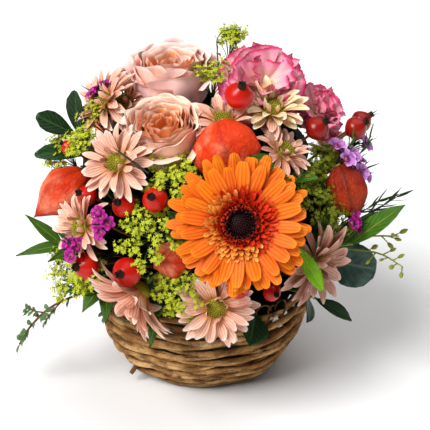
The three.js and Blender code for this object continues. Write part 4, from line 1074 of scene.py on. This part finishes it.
# Each row: node, number of leaves, lowest and highest elevation, nearest and furthest reach, and seed.
deep_leaves = [
    ("leaves_centre", 110, 28, 88, 95, 124, 1), ("leaves_front", 36, 6, 32, 72, 88, 2),
    ("leaves_back", 130, 6, 80, 95, 124, 3), ("leaves_left", 64, 38, 80, 100, 128, 4),
    ("mantle_top", 80, 56, 88, 122, 142, 5), ("mum_top", 40, 50, 74, 118, 140, 6),
    ("leaves_low_left", 44, 12, 46, 96, 116, 7), ("eucalyptus", 30, 14, 46, 96, 116, 8)]
for name, count, low, high, near, far, seed in deep_leaves:
    chance = random.Random(seed)
    bm = start_mesh()
    for k in range(count):
        azimuth = chance.uniform(90, 270) if name == "leaves_back" else chance.uniform(-95, 95)
        azimuth *= 2 if name == "mantle_top" else 1
        if name in ("leaves_low_left", "eucalyptus"):
            azimuth = chance.uniform(48, 88) * (1 if name == "eucalyptus" else -1)
        elevation = chance.uniform(low, high)
        reach = chance.uniform(72, 88) if elevation < 20 else chance.uniform(near, far)
        tip = place(azimuth + chance.uniform(-14, 14), elevation + chance.uniform(-6, 12), reach)
        root = place(azimuth, elevation, reach - chance.uniform(36, 50))
        root.z, tip.z = max(root.z, LOWEST_ROOT), max(tip.z, LOWEST_TIP)
        upper = direction(chance.choice([azimuth, 0, 0, 180]), chance.uniform(5, 60))
        span = tip - root
        blade(bm, leaf_frame(root, span, upper), span.length / MM, chance.uniform(20, 30),
              outline_of(*shapes["oval"]), rows=7, columns=4, rise=5, curl=-14, cup=1.4, tip=0.02,
              tone=chance.random())
    # Filler leaves in front are nearly black as painted shade; those at the back are ordinary dark leaves.
    dress(bm, name + "_deep", [dark_leaf if name == "leaves_back" else deep_leaf_painted_shade], [name])

# %% [markdown]
# The basket is seven rough courses of vine, one above the other, round eight wires. Each course is three
# strands. A strand is a circle spun round the middle. Its points are then moved, so that it wanders in
# thickness, twists round the others, and dips between the wires.
# %% Bark
WIRES, FIRST_WIRE = 8, -7
COURSE_FOOT, COURSE_RISE = 13.2, 8.5


def bark(dark, body, light):
    """Streaks that run round the basket, made from the place in space alone."""
    def paint(shade, along, across, tone):
        spot = shade.space()
        x, y, z = [shade.node("SeparateXYZ", out=i, Vector=spot) for i in range(3)]
        radius = (x * x + y * y) ** 0.5
        fibre = shade.node("CombineXYZ", X=x * 75.0 + radius * 380.0, Y=y * 75.0, Z=z * 520.0)
        streaks = shade.node("TexNoise", Scale=1.0, Detail=8.0, Roughness=0.65, Vector=fibre)
        patch, grain = shade.cloud(70.0, Detail=4.0), shade.cloud(900.0, Detail=2.0)
        colour = (streaks.ease(0.3, 0.66) * 0.8 + 0.2).blend(ink(dark), ink(body))
        colour = (patch.ease(0.42, 0.66) * 0.85).blend(colour, ink(light))
        colour = (1 - streaks.ease(0.34, 0.42)).blend(colour, ink(dark))
        colour = (grain.ease(0.5, 0.7) * 0.5).blend(colour, ink(dark))
        return colour, streaks * 1.5 + grain * 0.5, 1.2
    return paint


vine_finish = finish("vine bark", bark("2c1a0a", "9c6a38", "cc9c60"), 0.9)
pale_vine = finish("pale vine", bark("382210", "b08048", "dcb078"), 0.9)
wall_radii = [59.5, 66.3, 71.8, 75.6, 77.3, 77.8, 76.6]


def spin_round(bm, verts, edges, steps):
    """Spins some points and edges once round the basket's axis."""
    bmesh.ops.spin(bm, geom=verts + edges, cent=(0, 0, 0), axis=(0, 0, 1), angle=2 * pi, steps=steps,
                   use_merge=True)


def wind(bm, radius, height, thick, seed, index, swing, turns, sides=10, steps=150):
    """Adds one strand that winds round the basket; it swings round its course some turns in all."""
    start = Matrix.Translation(Vector((radius, 0, height)) * MM) @ Matrix.Rotation(radians(90), 4, "X")
    made = bmesh.ops.create_circle(bm, segments=sides, radius=thick * MM, matrix=start)["verts"]
    ring = list(dict.fromkeys(edge for v in made for edge in v.link_edges))
    spin_round(bm, made, ring, steps)
    for v in [v for v in bm.verts if not v.tag]:
        v.tag = True
        turn = atan2(v.co.y, v.co.x)
        core = Vector((radius * cos(turn), radius * sin(turn), height)) * MM
        away = v.co - core
        spread = 1 + 0.16 * noise.noise(Vector((cos(turn), sin(turn), 0)) * 5 + Vector((seed, 0, 0)))
        rough = 1 + 0.16 * noise.noise(core * 140 + away.normalized() * 1.2 + Vector((seed * 3, 0, 0)))
        drift = noise.noise_vector(Vector((cos(turn), sin(turn), seed)) * 2.8) * 1.9
        orbit = radians(turns * 360 * turn / (2 * pi) + seed * 77)
        out = Vector((cos(turn), sin(turn), 0))
        wires = cos(WIRES * (turn - radians(FIRST_WIRE - 90)))
        shift = out * (cos(orbit) * swing + 0.8 * wires - 0.9 + drift.x * 0.7)
        shift += UP * (sin(orbit) * swing * 1.2 + drift.z)
        v.co = core + away * spread * rough + shift * MM
    fresh = [face for face in bm.faces if not face.tag]
    map_faces(bm, fresh, lambda v: (0.5, 0.5), (seed * 0.37) % 1, index)
    for face in fresh:
        face.tag = True


for level, outer in enumerate(wall_radii):
    bm = start_mesh()
    height = COURSE_FOOT + COURSE_RISE * level
    wind(bm, outer - 3.7, height + 1.7, 2.1, level * 5 + 1, 0, 1.2, 5)
    wind(bm, outer - 3.5, height - 2.1, 2.1, level * 5 + 2, 1 if level % 2 else 0, 1.2, 4)
    wind(bm, outer - 4.6, height, 1.5, level * 5 + 3, 1, 2.4, 3, 8)
    dress(bm, f"vine_course_{level + 1}", [vine_finish, pale_vine], [f"vine_ring_{level + 1}"])

# %% [markdown]
# Steel wires run along the mat, up the inside of the vines and hook over the rim. The liner holds the wet
# foam that carries every stem.
# %% Wires, mat, liner and foam


def steel(shade, along, across, tone):
    dust = shade.cloud(300.0, Detail=3.0)
    return dust.ease(0.3, 0.7).blend(ink("5a564e"), ink("8a847a")), dust, 0.1


wire_finish = finish("steel wire", steel, 0.45)
wire_finish.node_tree.nodes["Principled BSDF"].inputs["Metallic"].default_value = 0.85


def vine_middle(level):
    """The distance from the axis and the height at which the middle of a course lies."""
    return wall_radii[level] - 4.1, COURSE_FOOT + COURSE_RISE * level


bm = start_mesh()
WIRE_OUT, WIRE_FLOOR = 5.55, 9.2
for k in range(WIRES):
    side = direction(FIRST_WIRE + 45 * k, 0)
    route = [(out, WIRE_FLOOR) for out in (2, 25, 42)]
    for level in range(7):
        low, high = vine_middle(max(level - 1, 0)), vine_middle(min(level + 1, 6))
        run, climb = high[0] - low[0], high[1] - low[1]
        reach = hypot(run, climb)
        middle = vine_middle(level)
        route.append((middle[0] - climb / reach * WIRE_OUT, middle[1] + run / reach * WIRE_OUT))
    top = vine_middle(6)
    for turn in (130, 90, 50, 15):
        route.append((top[0] + cos(radians(turn)) * 5.6, top[1] + sin(radians(turn)) * 5.6))
    way = smooth_way([side * r * MM + UP * z * MM for r, z in route], 3)
    rod(bm, way, 0.85, 6)
cone(bm, Matrix.Translation((0, 0, 8.5 * MM)), 4, 4, 1.6, 16)
dress(bm, "wire_ribs", [wire_finish], ["wire_frame"])

mat_finish = finish("woven mat", bark("3a2814", "80603a", "b08c58"), 0.88)
bm = start_mesh()
for k in range(9):
    wind(bm, 8 + 5 * k, 4.9, 3.0, 60 + k, 0, 0.3, 2, 8, 40 + 10 * k)
for k in range(WIRES):
    side = direction(FIRST_WIRE + 45 * k, 0)
    way = smooth_way([side * out * MM + UP * 4.6 * MM for out in (4, 28, 49)], 5)
    rod(bm, way, 2.0, 8, rough=0.2)
dress(bm, "mat_coils", [mat_finish], ["base_mat"])


def dull_plastic(shade, along, across, tone):
    dust = shade.cloud(120.0, Detail=4.0)
    return dust.ease(0.3, 0.75).blend(ink("23301e"), ink("3c4c30")), dust, 0.2


def sponge(shade, along, across, tone):
    pores = shade.node("TexVoronoi", Scale=900.0, Vector=shade.space())
    return pores.ease(0.1, 0.7).blend(ink("1f3a1a"), ink("35562a")), pores, 0.5


def turned(bm, profile, steps=64):
    """Turns a profile of (radius, height) in millimetres round the basket's axis."""
    points = [bm.verts.new(Vector((r, 0, z)) * MM) for r, z in profile]
    edges = [bm.edges.new(pair) for pair in zip(points, points[1:])]
    spin_round(bm, points, edges, steps)
    bmesh.ops.remove_doubles(bm, verts=bm.verts, dist=0.00001)
    map_faces(bm, bm.faces, lambda v: (v.co.z / 0.06, atan2(v.co.y, v.co.x) / (2 * pi) + 0.5), 0.5)


bm = start_mesh()
turned(bm, [(0, 10.3), (38, 10.3), (40.5, 10.8), (50, 33), (60.4, 56), (61.9, 58.4), (63.2, 58.7),
            (63.3, 59.7), (62, 60), (60.9, 59.6), (59.3, 56), (49, 33.5), (39.6, 12), (0, 11.5)])
dress(bm, "liner_cup", [finish("liner plastic", dull_plastic, 0.5)], ["liner"])
bm = start_mesh()
turned(bm, [(0, 11.8), (36, 11.8), (38.5, 12.6), (49, 34), (50, 38), (50, 79), (48.8, 82.6), (45, 86.6),
            (41, 88), (30, 88), (15, 88), (0, 88)], 48)
for v in bm.verts:
    v.co += v.co.normalized() * 0.5 * MM * noise.noise(v.co * 120)
dress(bm, "foam_block", [finish("flower foam", sponge, 0.95)], ["floral_foam"])

# %% [markdown]
# Small strays give a bouquet its life: curled tendrils at the rim, a grass loop at the top, a dark needle
# leaf over the daisies, and two budding twigs and four needle sprigs on the right.
# %% Tendrils and strays
bm = start_mesh()
for turn, size in [(23, 7), (30, 9), (36, 6), (41, 8)]:
    rim = place(turn, 0, 0) + direction(turn, 0) * 75 * MM
    rim.z = 66 * MM
    side, away = direction(turn + 90, 0), direction(turn, 0)
    points = [rim + away * -3 * MM]
    for k in range(9):
        angle, reach = radians(40 * k - 60), size * (1 - k / 14)
        points.append(rim + side * (cos(angle) * reach) * MM + UP * (sin(angle) * reach + 4) * MM
                      + away * (1 + k * 0.4) * MM)
    rod(bm, smooth_way(points, 3), 0.8, 5, 0.5)
stub = [direction(-52, 0) * r * MM + UP * z * MM for r, z in [(55, 15), (61, 12), (65, 8)]]
rod(bm, stub, 1.9, 7, 0.9, rough=0.3)
dress(bm, "rim_tendrils", [brown_stem], ["vine_ring_7"])

bm = start_mesh()
grass_places = [(60, 84, 130), (62, 86.4, 172), (30, 84.1, 184), (30, 82.3, 191), (49, 82.7, 191),
                (76, 82.6, 188)]
rod(bm, smooth_way([place(*spot) for spot in grass_places], 6), 0.5, 4, 0.5)
needle_root, needle_tip = place(-19, 51, 156), place(-34, 54, 166)
blade(bm, leaf_frame(needle_root, needle_tip - needle_root, direction(0, 30)), 33, 1.5,
      outline_of(0.6, 1, 1, 0.7, 0.1), rows=8, columns=2, curl=-14, index=2)
for twig in [((66, 30, 100), (67, 26, 132), (65, 24.5, 154)),
             ((68, 26, 100), (66, 21, 134), (62.5, 17.5, 153))]:
    way = smooth_way([place(*spot) for spot in twig], 5)
    rod(bm, way, 0.8, 5, 0.6, index=1)
    for k in range(4, len(way)):
        side = direction(dice.uniform(-60, 120), dice.uniform(-50, 60))
        tip = way[k] + side * dice.uniform(3, 6) * MM
        rod(bm, [way[k], tip], 0.5, 4, index=1)
        berry(bm, head_frame(tip, side), dice.uniform(1.0, 1.7),
              lambda t, turn: (sin(pi * t) ** 0.8, 4.2 * t), 8, 6, index=1)
for start, end, count in [((58, 34, 128), (61, 35, 162), 16), ((62, 32, 130), (69, 33, 166), 16),
                          ((64, 46, 140), (65, 50, 166), 12), ((68, 44, 140), (75, 47, 167), 12)]:
    way = smooth_way([place(*start), place(*end)], count)
    rod(bm, way, 0.6, 4, 0.5)
    outward = (way[-1] - way[0]).normalized()
    for k in range(count // 3, count):
        needle(bm, way[k], outward, k, 0.7, 1, dice.uniform(9, 14), 1.7, 16, 2 if count == 16 else 0)
dress(bm, "strays", [bright_leaf, olive_finish, needle_finish], ["leaves_centre"])

# %% [markdown]
# The finer pieces must stay inside the box of the solids, give or take a petal's edge.
# %% The pieces and their triangles are counted.
print("pieces:", len(counted), "triangles:", sum(counted))
